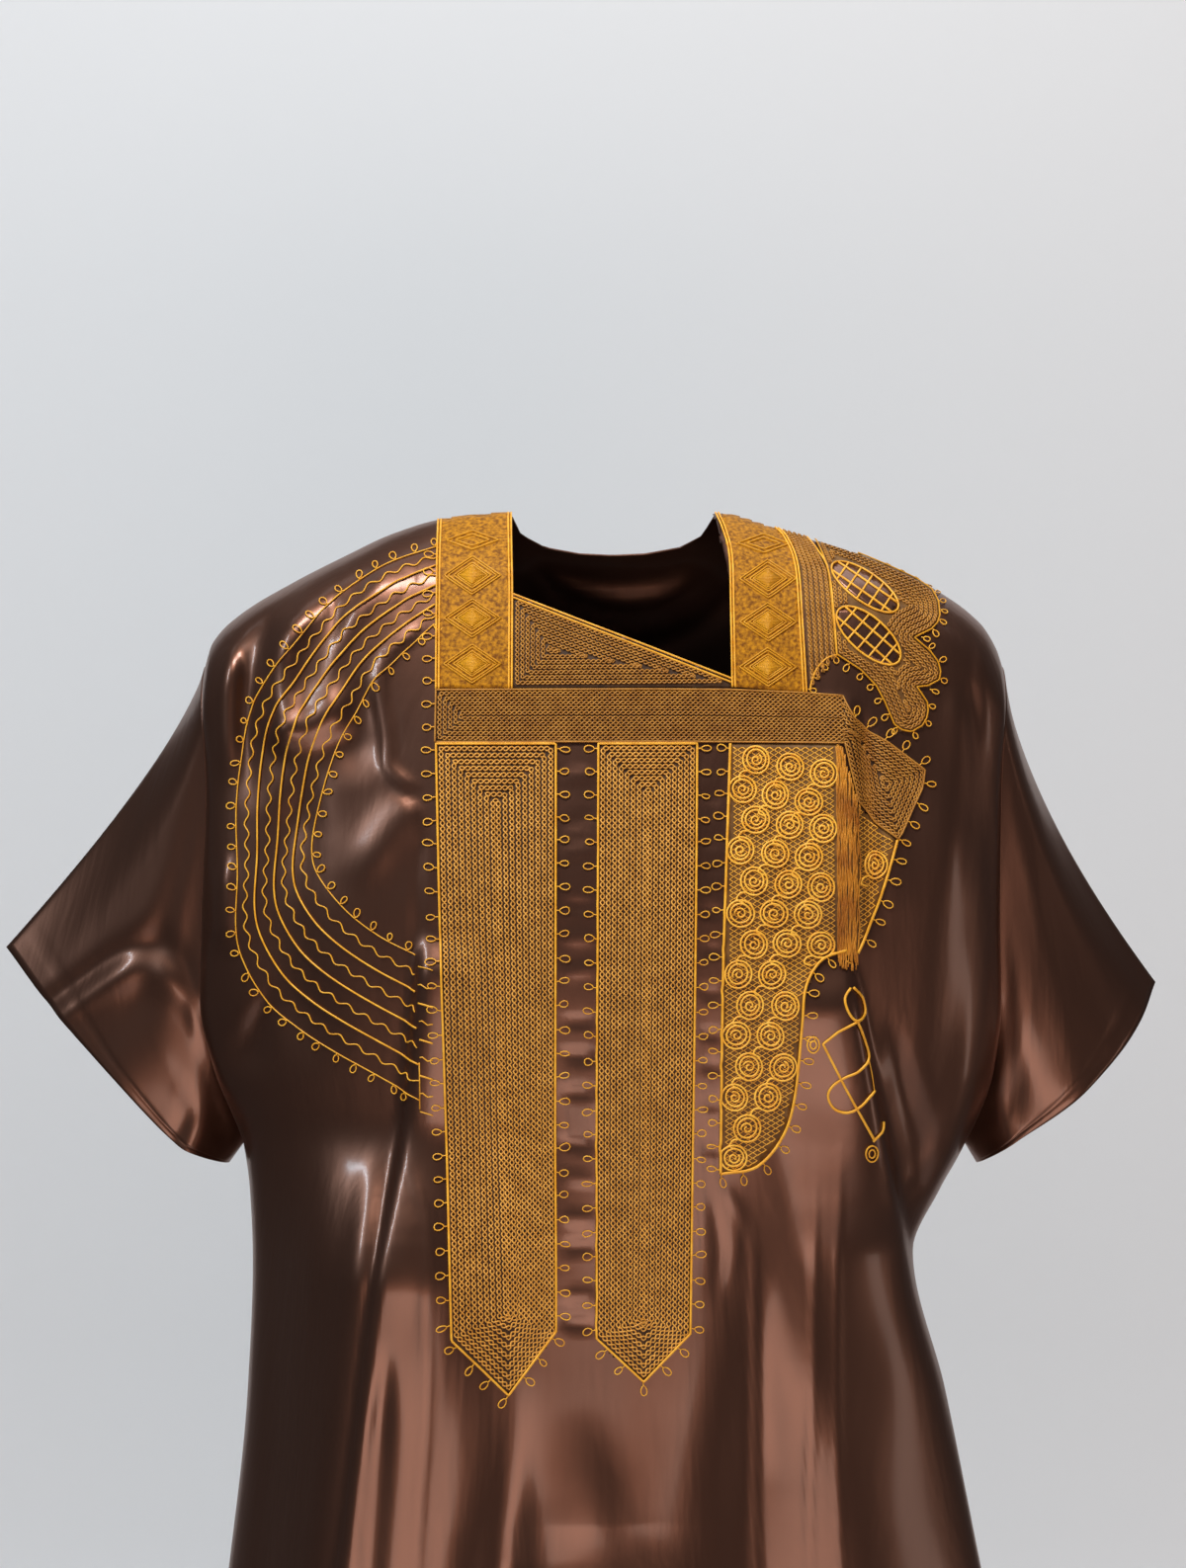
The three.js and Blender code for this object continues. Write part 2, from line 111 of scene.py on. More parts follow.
# heights, half widths to the wearer's right and left, depths before and behind, tuck at the seams, and power of
# the bow
ringNames = ("z", "right", "left", "front", "back", "tuck", "flat")
bodyRings = [
    (0, 266, 254, 36, 32, 0, 1.0), (-50, 266, 254, 66, 60, 0, 1.0), (-100, 266, 254, 88, 80, 0, 1.0),
    (-180, 262, 250, 112, 96, 0, 0.95), (-260, 265, 249, 130, 100, 0, 0.9), (-320, 266, 250, 134, 98, 0, 0.9),
    (-360, 260, 248, 134, 97, 2, 0.9), (-408, 246, 235, 132, 97, 5, 0.9), (-440, 243, 219, 131, 98, 8, 0.9),
    (-480, 242, 202, 130, 100, 10, 0.9), (-570, 246, 224, 132, 108, 12, 0.88),
    (-693, 260, 250, 140, 118, 14, 0.85),
    (-900, 288, 296, 158, 140, 16, 0.85), (-1150, 324, 348, 188, 172, 18, 0.85),
    (-1420, 362, 400, 226, 210, 20, 0.85),
]
shoulderLine = [
    (-266, -100), (-261, -84), (-243, -66), (-210, -46), (-175, -28), (-143, -13), (-112, -4), (-67, 0),
    (67, 0), (108, -11), (148, -23), (182, -35), (214, -52), (240, -72), (250, -88), (254, -100),
]


def smoothReading(xs, ys):
    # a smooth curve through a table's rows that never overshoots them
    xs, ys = np.array(xs, float), np.array(ys, float)
    if xs[0] > xs[-1]:
        xs, ys = xs[::-1], ys[::-1]
    h = np.diff(xs)
    chord = np.diff(ys) / h
    a, b = chord[:-1], chord[1:]
    slope = np.concatenate([[chord[0]], np.where(a * b <= 0, 0, 2 * a * b / np.where(a + b == 0, 1, a + b)),
                            [chord[-1]]])

    def read(x):
        v = np.clip(x, xs[0], xs[-1])
        i = np.clip(np.searchsorted(xs, v, side="right") - 1, 0, len(h) - 1)
        t = (v - xs[i]) / h[i]
        t2, t3 = t * t, t * t * t
        return ((2 * t3 - 3 * t2 + 1) * ys[i] + (t3 - 2 * t2 + t) * h[i] * slope[i]
                + (3 * t2 - 2 * t3) * ys[i + 1] + (t3 - t2) * h[i] * slope[i + 1])
    return read


ring = {n: smoothReading([r[0] for r in bodyRings], [r[k] for r in bodyRings]) for k,
        n in enumerate(ringNames) if k}
shoulder = smoothReading(*zip(*shoulderLine))


def ease(x, low, high):
    # 0 up to low, 1 from high, and 3t^2 - 2t^3 between them
    t = np.clip((x - low) / (high - low), 0, 1)
    return t * t * (3 - 2 * t)


# Each fold is a path in the front view. "out" is its height, negative for a trough. A step lifts the cloth on
# one side of its path (side 1 is +x of a falling path) and lets it sink back over "reach".
def fold(kind, path, width, out, grow=60.0, end=60.0, side=1, reach=40.0):
    # "grow" and "end" are the lengths over which it rises from nothing and fades again
    return {"kind": kind, "path": path, "width": width, "out": out, "grow": grow, "end": end,
            "side": side, "reach": reach}


hemward = None  # the end of a fold that runs off the hem and doesn't fade there
frontFolds = [
    # the skirt, from the wearer's right to the left
    fold("soft", [(-236, -380), (-238, -424), (-236, -501), (-233, -597), (-238, -685), (-256, -900),
                  (-300, -1420)],
         13, 4.0, 60, hemward),
    fold("step", [(-196, -380), (-200, -452), (-203, -496), (-206, -559), (-210, -622), (-215, -677),
                  (-229, -850), (-260, -1150), (-296, -1420)], 32, 46, 110, 640, 1, 110),
    fold("soft", [(-150, -400), (-160, -492), (-171, -567), (-184, -671), (-205, -800), (-240, -1050),
                  (-284, -1420)],
         15, 7, 90, hemward),
    fold("step", [(-120, -268), (-126, -330), (-130, -368), (-134, -405), (-144, -461), (-153, -523),
                  (-162, -595), (-172, -671), (-192, -800), (-225, -1050),
                  (-268, -1420)], 3.0, 11, 30, hemward, 1, 30),
    fold("soft", [(-140, -520), (-146, -590), (-152, -671), (-166, -850), (-190, -1100), (-220, -1420)],
         10, -4.0, 60, hemward),
    fold("soft", [(-104, -430), (-106, -523), (-108, -604), (-110, -671), (-124, -850), (-146, -1100),
                  (-172, -1420)],
         26, 5, 110, hemward),
    fold("soft", [(-131, -408), (-122, -433), (-116, -455), (-114, -523)], 2.8, 0.9, 20, 40),
    fold("soft", [(-119, -470), (-117, -560), (-122, -640), (-128, -760)], 3.4, 0.8, 30, 60),
    fold("soft", [(-58, -540), (-64, -616), (-70, -671), (-82, -850), (-98, -1100), (-114, -1420)],
         26, -12, 170, hemward),
    fold("soft", [(-24, -566), (-18, -610), (-14, -650), (-10, -800), (-12, -1050), (-16, -1420)],
         30, 5, 80, hemward),
    fold("soft", [(96, -470), (97, -592), (100, -671), (107, -800), (122, -1100), (142, -1420)],
         40, -14, 150, hemward),
    fold("step", [(-104, -672), (-50, -661), (-13, -657), (24, -655), (84, -645)], 2.6, 2.6, 70, 70, 1, 90),
    fold("soft", [(-104, -710), (-13, -694), (84, -684)], 18, 8, 60, 60),
    fold("soft", [(88, -430), (89, -554), (90, -671), (95, -900), (106, -1200)], 2.6, 0.9, 90, 200),
    fold("soft", [(104, -470), (106, -560), (110, -671), (118, -900), (136, -1420)], 16, 2, 90, hemward),
    fold("soft", [(127, -380), (127, -492), (125, -585), (124, -671), (130, -900), (150, -1150), (172, -1420)],
         2.6, 0.9, 80, hemward),
    fold("soft", [(143, -380), (142, -492), (142, -616), (148, -780)], 2.6, 0.8, 70, 120),
    fold("soft", [(135, -400), (136, -492), (135, -616), (142, -850), (168, -1150), (196, -1420)],
         34, 4, 120, hemward),
    fold("soft", [(182, -520), (192, -575), (198, -622), (206, -677), (225, -850), (256, -1100), (290, -1420)],
         27, -2, 120, hemward),
    fold("soft", [(215, -700), (232, -800), (262, -1000), (300, -1200), (342, -1420)], 24, 10, 160, hemward),
    # under the arm at the wearer's left
    fold("step", [(148, -280), (156, -325), (164, -364), (171, -395), (179, -433), (187, -468), (199, -512),
                  (213, -572), (228, -650)], 3.0, 13, 40, 170, -1, 36),
    fold("soft", [(176, -320), (182, -368), (189, -400), (195, -436), (202, -470)], 15, -7, 60, 60),
    fold("soft", [(190, -455), (208, -430), (222, -395), (232, -340), (236, -260)], 14, 6, 30, 90),
    fold("soft", [(178, -440), (196, -424), (214, -400)], 7, 1.2, 20, 30),
    fold("soft", [(244, -372), (246, -278), (242, -181)], 6, -5, 60, 60),
    fold("soft", [(205, -150), (209, -240), (206, -330), (200, -380)], 22, 5, 70, 60),
    # the fold through the stitching at the wearer's left
    fold("step", [(152, -118), (154, -150), (156, -195), (157, -244), (156, -292)], 3.4, 7, 25, 60, -1, 26),
    fold("soft", [(158, -122), (161, -160), (163, -200), (164, -240), (163, -280)], 8, -4, 30, 40),
    # the chest at the wearer's right
    fold("valley", [(-116, -66), (-128, -80), (-142, -92), (-149, -108), (-148, -126), (-144, -148),
                    (-143, -166), (-132, -177), (-120, -178)], 6, 5.6, 18, 15),
    fold("soft", [(-158, -104), (-165, -143), (-162, -181)], 18, -5.4, 30, 30),
    fold("soft", [(-122, -187), (-134, -198), (-146, -213), (-168, -248)], 14, 4.4, 12, 40),
    fold("soft", [(-122, -200), (-124, -240), (-123, -283)], 3.4, -1.1, 20, 20),
    fold("valley", [(-168, -34), (-186, -58), (-204, -78), (-222, -108)], 9, 4.2, 14, 24),
    fold("valley", [(-150, -32), (-176, -66), (-196, -98)], 8, -3.4, 14, 30),
    fold("valley", [(-138, -28), (-158, -60), (-176, -92), (-182, -120)], 7, 3.2, 14, 24),
    fold("soft", [(-228, -146), (-196, -139), (-158, -120)], 15, 8.5, 20, 25),
    fold("valley", [(-228, -128), (-206, -132), (-180, -124)], 6, -2.2, 14, 18),
    fold("valley", [(-186, -44), (-176, -58), (-160, -70)], 5, 2.4, 10, 12),
    fold("valley", [(-250, -72), (-240, -84), (-226, -98)], 6, 3.0, 10, 14),
    fold("valley", [(-216, -54), (-206, -64), (-196, -76)], 5, -2.4, 8, 12),
    fold("valley", [(-126, -30), (-132, -52), (-142, -74)], 6, -2.4, 10, 16),
    fold("soft", [(-192, -47), (-206, -78), (-212, -117), (-208, -170)], 9, 5.2, 20, 50),
    fold("soft", [(-216, -59), (-231, -91), (-236, -143), (-230, -200)], 9, -5.5, 20, 60),
    fold("soft", [(-245, -82), (-249, -130), (-248, -185)], 8, 5.5, 20, 40),
    fold("soft", [(-246, -218), (-251, -250), (-252, -290)], 9, 6.0, 25, 25),
    fold("soft", [(-214, -300), (-226, -330), (-238, -372)], 14, -6, 40, 30),
    fold("soft", [(-176, -36), (-180, -60), (-176, -92)], 6, -2.4, 15, 30),
    fold("soft", [(-188, -160), (-206, -230), (-206, -300), (-190, -370)], 22, -7, 50, 60),
    # the chest at the wearer's left
    fold("soft", [(236, -80), (240, -120), (242, -160)], 7, 2.8, 20, 40),
    fold("soft", [(217, -108), (221, -150), (219, -200), (214, -262)], 12, 3.2, 30, 60),
    fold("soft", [(228, -96), (231, -140), (231, -190)], 6, -1.8, 30, 50),
    # small puckers beside the heavy stitching
    fold("soft", [(60, -430), (66, -470), (62, -510)], 4.5, -0.8, 25, 25),
    fold("soft", [(66, -428), (78, -446), (84, -470)], 4, 0.8, 15, 25),
    fold("soft", [(70, -440), (76, -470), (72, -500)], 3, 0.6, 15, 20),
]
puckers = {
    "count": 15, "top": -176, "apart": 24.5, "stray": 5, "width": (2.2, 3.6), "heights": [-1.5, 1.3], "fade": 7,
    "rightLowest": -420, "rightDrop": 7,
}
for k in range(puckers["count"]):  # small folds across the strips between the knives
    level = puckers["top"] - puckers["apart"] * k + float(rng.uniform(-puckers["stray"], puckers["stray"]))
    tilt = float(rng.uniform(-puckers["stray"], puckers["stray"]))
    width = float(rng.uniform(*puckers["width"]))
    height = float(rng.choice(puckers["heights"]))
    frontFolds.append(fold("soft", [(-35, level), (-23, level + tilt * 0.6), (-10, level + tilt)],
                           width, height, puckers["fade"], puckers["fade"]))
    if level > puckers["rightLowest"]:
        level -= puckers["rightDrop"]
        frontFolds.append(fold("soft", [(53, level), (61, level - tilt), (70, level)], 2.4, -1.2, 6, 6))

backFolds = [
    fold("soft", [(-150, -52), (-166, -160), (-176, -400), (-196, -700), (-230, -1050), (-272, -1420)],
         30, -22, 180, hemward),
    fold("soft", [(-112, -60), (-116, -260), (-122, -500), (-142, -800), (-170, -1150), (-205, -1420)],
         24, 14, 240, hemward),
    fold("soft", [(-58, -120), (-62, -400), (-72, -700), (-92, -1050), (-118, -1420)], 27, -20, 260, hemward),
    fold("soft", [(-20, -200), (-24, -460), (-22, -760), (-32, -1420)], 11, 7, 220, hemward),
    fold("soft", [(8, -90), (4, -400), (0, -760), (-8, -1420)], 28, 12, 260, hemward),
    fold("soft", [(40, -260), (38, -520), (36, -800), (30, -1420)], 10, -7, 200, hemward),
    fold("soft", [(64, -130), (68, -420), (76, -720), (92, -1100), (106, -1420)], 26, -21, 240, hemward),
    fold("soft", [(112, -66), (120, -320), (134, -600), (156, -900), (196, -1420)], 26, 15, 240, hemward),
    fold("soft", [(160, -60), (170, -220), (182, -480), (210, -800), (280, -1420)], 30, -22, 180, hemward),
    fold("soft", [(206, -420), (214, -560), (238, -800), (320, -1420)], 14, 9, 120, hemward),
    fold("soft", [(-214, -420), (-218, -600), (-244, -900), (-320, -1420)], 14, 8, 120, hemward),
    fold("step", [(-90, -420), (-96, -640), (-112, -900), (-150, -1420)], 4, 7, 200, hemward, 1, 24),
    fold("step", [(96, -520), (104, -700), (124, -960), (158, -1420)], 4, 7, 200, hemward, -1, 24),
    fold("soft", [(-60, -26), (-20, -52), (30, -54), (64, -28)], 9, -4, 30, 30),
    fold("soft", [(-96, -18), (-60, -62), (0, -84), (60, -66), (100, -22)], 11, 4, 50, 50),
    fold("soft", [(-236, -130), (-240, -200), (-236, -300)], 10, 5, 40, 60),
    fold("soft", [(232, -130), (236, -200), (230, -290)], 10, 5, 40, 60),
    fold("soft", [(-214, -150), (-220, -240), (-214, -330)], 9, -6, 50, 60),
    fold("soft", [(208, -160), (214, -250), (206, -330)], 9, -6, 50, 60),
]


def curveThrough(points, each=6, closed=False):
    # a smooth path through points, with "each" steps between two of them
    p = np.array(points, float)
    if closed:
        p = np.vstack([p[-1], p, p[0], p[1]])
    else:
        p = np.vstack([2 * p[0] - p[1], p, 2 * p[-1] - p[-2]])
    t = np.linspace(0, 1, each, endpoint=False)[None, :, None]
    a, b, c, d = (p[k:len(p) - 3 + k, None, :] for k in range(4))
    out = 0.5 * (2 * b + (c - a) * t + (2 * a - 5 * b + 4 * c - d) * t ** 2 + (3 * b - a - 3 * c + d) * t ** 3)
    out = out.reshape(-1, p.shape[1])
    return out if closed else np.vstack([out, p[-2]])


foldShape = {
    "pathSteps": 4, "reach": 3.2,  # a fold is left out beyond so many widths
    "narrow": 0.45, "opening": 1.6,  # it starts this narrow and opens over so many times its growth
    "rounding": 9.0, "brim": 0.2, "brimSoftness": 0.4,  # the bottom and the upper edges of a valley
    "steepness": 2.5, "level": 0.3, "sunk": 2,  # the rise of a step, and where in its reach it sinks back
}


def foldField(folds, x, z):
    # the folds' heights added up: soft is exp(-(distance / width)^2), valley has straight walls to a narrow
    # bottom, and step is 1 / (1 + exp(-distance / width)), sinking back over its reach
    total = np.zeros(x.shape)
    for f in folds:
        path = curveThrough(f["path"], foldShape["pathSteps"])
        reach = foldShape["reach"] * f["width"] + (foldShape["sunk"] * f["reach"] if f["kind"] == "step" else 0)
        near = ((x > path[:, 0].min() - reach) & (x < path[:, 0].max() + reach)
                & (z > path[:, 1].min() - reach) & (z < path[:, 1].max() + reach))
        ax, az = x[near], z[near]
        best, across, along = np.full(ax.shape, 1e9), np.zeros(ax.shape), np.zeros(ax.shape)
        step = np.diff(path, axis=0)
        long = np.hypot(*step.T)
        start = np.concatenate([[0], np.cumsum(long)])
        for k in range(len(long)):
            dx, dz = step[k] / long[k]
            u = np.clip((ax - path[k, 0]) * dx + (az - path[k, 1]) * dz, 0, long[k])
            ox, oz = ax - path[k, 0] - u * dx, az - path[k, 1] - u * dz
            away = np.hypot(ox, oz)
            closer = away < best
            best = np.where(closer, away, best)
            across = np.where(closer, np.where(dx * oz - dz * ox >= 0, away, -away), across)
            along = np.where(closer, start[k] + u, along)
        strength = f["out"] * ease(along, 0, f["grow"])
        if f["end"] is not hemward:
            strength = strength * ease(start[-1] - along, 0, f["end"])
        opened = foldShape["narrow"] + (1 - foldShape["narrow"]) * ease(along, 0,
                                                                        foldShape["opening"] * f["grow"])
        if f["kind"] == "soft":
            total[near] += strength * np.exp(-(across / (f["width"] * opened)) ** 2)
        elif f["kind"] == "valley":
            brim = foldShape["brim"]
            slope = 1 - np.sqrt(across ** 2 + foldShape["rounding"]) / (f["width"] * opened)
            walls = (slope + brim) ** 2 / np.maximum(slope + foldShape["brimSoftness"] + brim, 1e-9)
            total[near] += strength * np.where(slope > -brim, walls, 0)
        else:
            ahead = across * f["side"]
            rise = 1 / (1 + np.exp(np.clip(-foldShape["steepness"] * ahead / f["width"], -50, 50)))
            sinking = ease(ahead, f["reach"] * foldShape["level"], f["reach"] * foldShape["sunk"])
            total[near] += strength * rise * (1 - sinking)
    return total


# The folds are worked out once on a fine lattice, so cloth and stitching read the same heights.
lattice = {"x": (-420.0, 421.0, 2.0), "z": (-1430.0, 11.0, 2.5)}  # from, to, step
unevenness = {"waves": 26, "height": 0.22, "across": 0.045, "down": 0.011, "phase": 6.28}


def foldLattice(folds, seed):
    # the folds at every lattice place, plus sine waves that are long down the cloth and short across it
    gridX, gridZ = np.meshgrid(np.arange(*lattice["x"]), np.arange(*lattice["z"]))
    field = foldField(folds, gridX, gridZ)
    waves = np.random.default_rng(seed)
    for _ in range(unevenness["waves"]):
        across, down = waves.normal(0, unevenness["across"]), waves.normal(0, unevenness["down"])
        phase = waves.uniform(0, unevenness["phase"])
        field += unevenness["height"] * np.sin(gridX * across + gridZ * down + phase)
    return field


def readLattice(field, x, z):
    # the four lattice heights around each place, blended by nearness
    (x0, _, stepX), (z0, _, stepZ) = lattice["x"], lattice["z"]
    u = np.clip((x - x0) / stepX, 0, field.shape[1] - 1.001)
    v = np.clip((z - z0) / stepZ, 0, field.shape[0] - 1.001)
    i, j = u.astype(int), v.astype(int)
    a, b = u - i, v - j
    lower = field[j, i] * (1 - a) + field[j, i + 1] * a
    upper = field[j + 1, i] * (1 - a) + field[j + 1, i + 1] * a
    return lower * (1 - b) + upper * b


heights = {-1: foldLattice(frontFolds, 11), 1: foldLattice(backFolds, 12)}
print("folds ready")


def armholeDepth(face, z):
    # the armhole's opening to the front (-1) or back (1): constant, then an ellipse down to the underarm
    closing = np.clip((dress["underarm"] + dress["armholeClosing"] - z) / dress["armholeClosing"], 0, 1)
    return dress["armhole"][face] * np.sqrt(1 - closing ** 2)


def bodyDepth(face, x, z, turn):
    # the cloth's distance from the middle plane: armhole + (depth - armhole) * cos(turn)^flat, rolled over at
    # the shoulder as a quarter ellipse, plus the folds
    fallen = np.clip((shoulder(x) - z) / dress["rollDrop"], 0, 1)
    roll = np.sqrt(1 - (1 - fallen) ** 2)
    edgeward = ease(np.abs(turn), *dress["edgeTurn"])
    plain = dress["armhole"][face] * (1 - ease(-z, *dress["armholeFade"]))
    armhole = plain * (1 - edgeward) + armholeDepth(face, z) * edgeward
    bow = np.maximum(np.cos(turn), 0) ** ring["flat"](z)
    depth = ring["front" if face < 0 else "back"](z)
    quiet = 1 - ease(np.abs(turn), *dress["quietTurn"])
    folds = readLattice(heights[face], x, z) * quiet * ease(fallen, 0, dress["foldsStart"])
    return np.maximum((armhole + (depth - armhole) * bow) * roll + folds, dress["seam"] / 2)


def turnAt(x, z):
    # the angle whose sine is x over the half width there
    half = np.where(x < 0, ring["right"](z), ring["left"](z))
    return np.arcsin(np.clip(x / half, -1, 1))


probe = {"aside": 0.8, "above": 0.4, "below": 1.2, "underTop": 0.6}  # where the slope round a point is read


def onFront(x, z, lift=0.0):
    # points on the front panel, moved out by "lift" along the normal, which is (-slope in x, -1, -slope in z)
    x = np.asarray(x, float)
    z = np.minimum(np.asarray(z, float), shoulder(x) - probe["underTop"])

    def depth(a, b):
        return bodyDepth(-1, a, b, turnAt(a, b))
    slopeX = (depth(x + probe["aside"], z) - depth(x - probe["aside"], z)) / (2 * probe["aside"])
    slopeZ = (depth(x, z + probe["above"]) - depth(x, z - probe["below"])) / (probe["above"] + probe["below"])
    normal = np.stack([-slopeX, -np.ones_like(slopeX), -slopeZ], -1)
    normal /= np.linalg.norm(normal, axis=-1, keepdims=True)
    return np.stack([x, -depth(x, z), z], -1) + normal * np.asarray(lift)[..., None], normal


def newMesh(name, points, faces, material, slot):
    # one smooth object from an array of points in millimetres and an array of faces with equal corners
    mesh = bpy.data.meshes.new(name)
    faces = np.asarray(faces, np.int32)
    mesh.vertices.add(len(points))
    mesh.vertices.foreach_set("co", (np.asarray(points, np.float32) * mm).ravel())
    corners = faces.shape[1]
    mesh.loops.add(faces.size)
    mesh.loops.foreach_set("vertex_index", faces.ravel())
    mesh.polygons.add(len(faces))
    mesh.polygons.foreach_set("loop_start", np.arange(0, faces.size, corners, dtype=np.int32))
    mesh.polygons.foreach_set("loop_total", np.full(len(faces), corners, np.int32))
    mesh.polygons.foreach_set("use_smooth", np.full(len(faces), True))
    mesh.update()
    mesh.validate()
    mesh.materials.append(material)
    piece = bpy.data.objects.new(name, mesh)
    bpy.context.scene.collection.objects.link(piece)
    if slot:
        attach(piece, "root")
    return piece


def gridFaces(rows, columns, flip=False, wrap=False):
    # quads between neighbouring rows and columns; wrap joins the last column to the first
    wide = columns if wrap else columns - 1
    j, i = np.meshgrid(np.arange(rows - 1), np.arange(wide), indexing="ij")
    right = (i + 1) % columns
    below = (j + 1) * columns
    quads = np.stack([j * columns + i, below + i, below + right, j * columns + right], -1).reshape(-1, 4)
    return quads[:, ::-1] if flip else quads


def onlyUsed(points, faces):
    # the points that the faces still use, and the faces renumbered to them
    used, renumbered = np.unique(faces, return_inverse=True)
    return points[used], renumbered.reshape(faces.shape)


def addWall(piece, thickness):
    # gives a sheet its thickness, outwards
    wall = piece.modifiers.new("wall", "SOLIDIFY")
    wall.thickness = thickness * mm
    wall.offset = 1


def inside(outline, x, z):
    # whether places lie inside an outline, by counting the sides that a ray crosses
    p = np.array(outline, float)
    q = np.roll(p, -1, axis=0)
    hit = np.zeros(np.shape(x), bool)
    for (ax, az), (bx, bz) in zip(p, q):
        if az != bz:
            hit ^= ((az > z) != (bz > z)) & (x < (bx - ax) * (z - az) / (bz - az) + ax)
    return hit


def nearestOn(outline, x, z):
    # the closest place on an outline's sides
    p = np.array(outline, float)
    best = np.full(np.shape(x), 1e9)
    nx, nz = np.array(x, float), np.array(z, float)
    for (ax, az), (bx, bz) in zip(p, np.roll(p, -1, axis=0)):
        dx, dz = bx - ax, bz - az
        u = np.clip(((x - ax) * dx + (z - az) * dz) / (dx * dx + dz * dz), 0, 1)
        cx, cz = ax + u * dx, az + u * dz
        away = np.hypot(x - cx, z - cz)
        closer = away < best
        best, nx, nz = np.where(closer, away, best), np.where(closer, cx, nx), np.where(closer, cz, nz)
    return best, nx, nz


def setSockets(node, values):
    # each named socket gets its value
    for socket, value in values.items():
        node.inputs[socket].default_value = value


def newShader(name, settings):
    # a material whose shader is set from a dictionary, with its tree and the object's own coordinates
    material = bpy.data.materials.new(name)
    material.use_nodes = True
    tree = material.node_tree
    base = tree.nodes["Principled BSDF"]
    setSockets(base, settings)
    return material, tree, base, tree.nodes.new("ShaderNodeTexCoord").outputs["Object"]


def addNoise(tree, place, settings):
    # a noise pattern read at "place", from 0 to 1
    noise = tree.nodes.new("ShaderNodeTexNoise")
    setSockets(noise, settings)
    tree.links.new(place, noise.inputs["Vector"])
    return noise.outputs["Fac"]


def addTone(tree, base, share, dark, light):
    # the base colour: dark + (light - dark) * share
    tone = tree.nodes.new("ShaderNodeMix")
    tone.data_type = "RGBA"
    tone.inputs["A"].default_value = dark
    tone.inputs["B"].default_value = light
    tree.links.new(share, tone.inputs["Factor"])
    tree.links.new(tone.outputs["Result"], base.inputs["Base Color"])


def addBump(tree, height, strength, distance, under=None):
    # a bump from a pattern, laid over the bump "under" it
    bump = tree.nodes.new("ShaderNodeBump")
    setSockets(bump, {"Strength": strength, "Distance": distance})
    tree.links.new(height, bump.inputs["Height"])
    if under:
        tree.links.new(under, bump.inputs["Normal"])
    return bump.outputs["Normal"]


satin = {
    "dark": (0.088, 0.038, 0.024, 1), "light": (0.136, 0.062, 0.041, 1),
    "shader": {
        "Metallic": 0.90, "Roughness": 0.39, "Specular IOR Level": 0.3, "Specular Tint": (1.0, 0.80, 0.72, 1),
        "Sheen Weight": 0.03, "Sheen Roughness": 0.4, "Sheen Tint": (0.55, 0.36, 0.28, 1),
        "Coat Weight": 0.27, "Coat Roughness": 0.16,
    },
    "stretch": (1.0, 1.0, 0.22),  # drawn out down the cloth
    "drift": {"Scale": 5.5, "Detail": 3},
    "creases": {"Scale": 9.0, "Detail": 5, "Roughness": 0.55, "Distortion": 0.6}, "creaseBump": (0.12, 0.02),
    "weave": {"Scale": 900, "Detail": 2}, "weaveBump": (0.05, 0.0004),
}


def satinMaterial():
    # dark brown satin: colour that drifts a little, and a weave over fine creases that run down the cloth
    material, tree, base, place = newShader("satin", satin["shader"])
    stretch = tree.nodes.new("ShaderNodeMapping")
    stretch.inputs["Scale"].default_value = satin["stretch"]
    tree.links.new(place, stretch.inputs["Vector"])
    drawn = stretch.outputs["Vector"]
    addTone(tree, base, addNoise(tree, drawn, satin["drift"]), satin["dark"], satin["light"])
    creases = addBump(tree, addNoise(tree, drawn, satin["creases"]), *satin["creaseBump"])
    weave = addBump(tree, addNoise(tree, place, satin["weave"]), *satin["weaveBump"], under=creases)
    tree.links.new(weave, base.inputs["Normal"])
    return material


thread = {
    "sheen": {"Sheen Weight": 0.08, "Sheen Tint": (1.0, 0.7, 0.3, 1)},
    "grainDetail": 4, "sharpen": {"From Min": 0.35, "From Max": 0.65}, "twistBump": (0.35, 0.0004),
}


def threadMaterial(name, dark, light, roughness=0.42, twist=1400.0, grain=120.0, specular=0.3):
    # shiny thread: its colour drifts between two tones, and a fine twist catches the light
    material, tree, base, place = newShader(name, thread["sheen"])
    setSockets(base, {"Roughness": roughness, "Specular IOR Level": specular})
    sharpen = tree.nodes.new("ShaderNodeMapRange")
    setSockets(sharpen, thread["sharpen"])
    tree.links.new(addNoise(tree, place, {"Scale": grain, "Detail": thread["grainDetail"]}),
                   sharpen.inputs["Value"])
    addTone(tree, base, sharpen.outputs["Result"], (*dark, 1), (*light, 1))
    twisted = addBump(tree, addNoise(tree, place, {"Scale": twist}), *thread["twistBump"])
    tree.links.new(twisted, base.inputs["Normal"])
    return material


satinCloth = satinMaterial()
chainThread = threadMaterial("chainThread", (0.39, 0.158, 0.020), (0.52, 0.234, 0.034))
knifeThread = threadMaterial("knifeThread", (0.60, 0.265, 0.036), (0.80, 0.39, 0.064))
brightThread = threadMaterial("brightThread", (0.76, 0.33, 0.018), (0.92, 0.47, 0.040), 0.38)
ringThread = threadMaterial("ringThread", (0.90, 0.42, 0.034), (1.0, 0.56, 0.070), 0.38)
bandThread = threadMaterial("bandThread", (0.55, 0.228, 0.007), (0.66, 0.30, 0.012), 0.42, specular=0.2)
netThread = threadMaterial("netThread", (0.82, 0.37, 0.034), (0.96, 0.49, 0.060), 0.44)
# the ground under the chain rows: darker than the cloth, as painted shade in the gaps between the stitches
groundAndGapShade = threadMaterial("groundAndGapShade", (0.034, 0.013, 0.004), (0.080, 0.032, 0.008), 0.6)
stippleThread = threadMaterial("stippleThread", (0.17, 0.054, 0.002), (0.52, 0.215, 0.006), 0.55, 700.0, 430.0,
                               0.12)
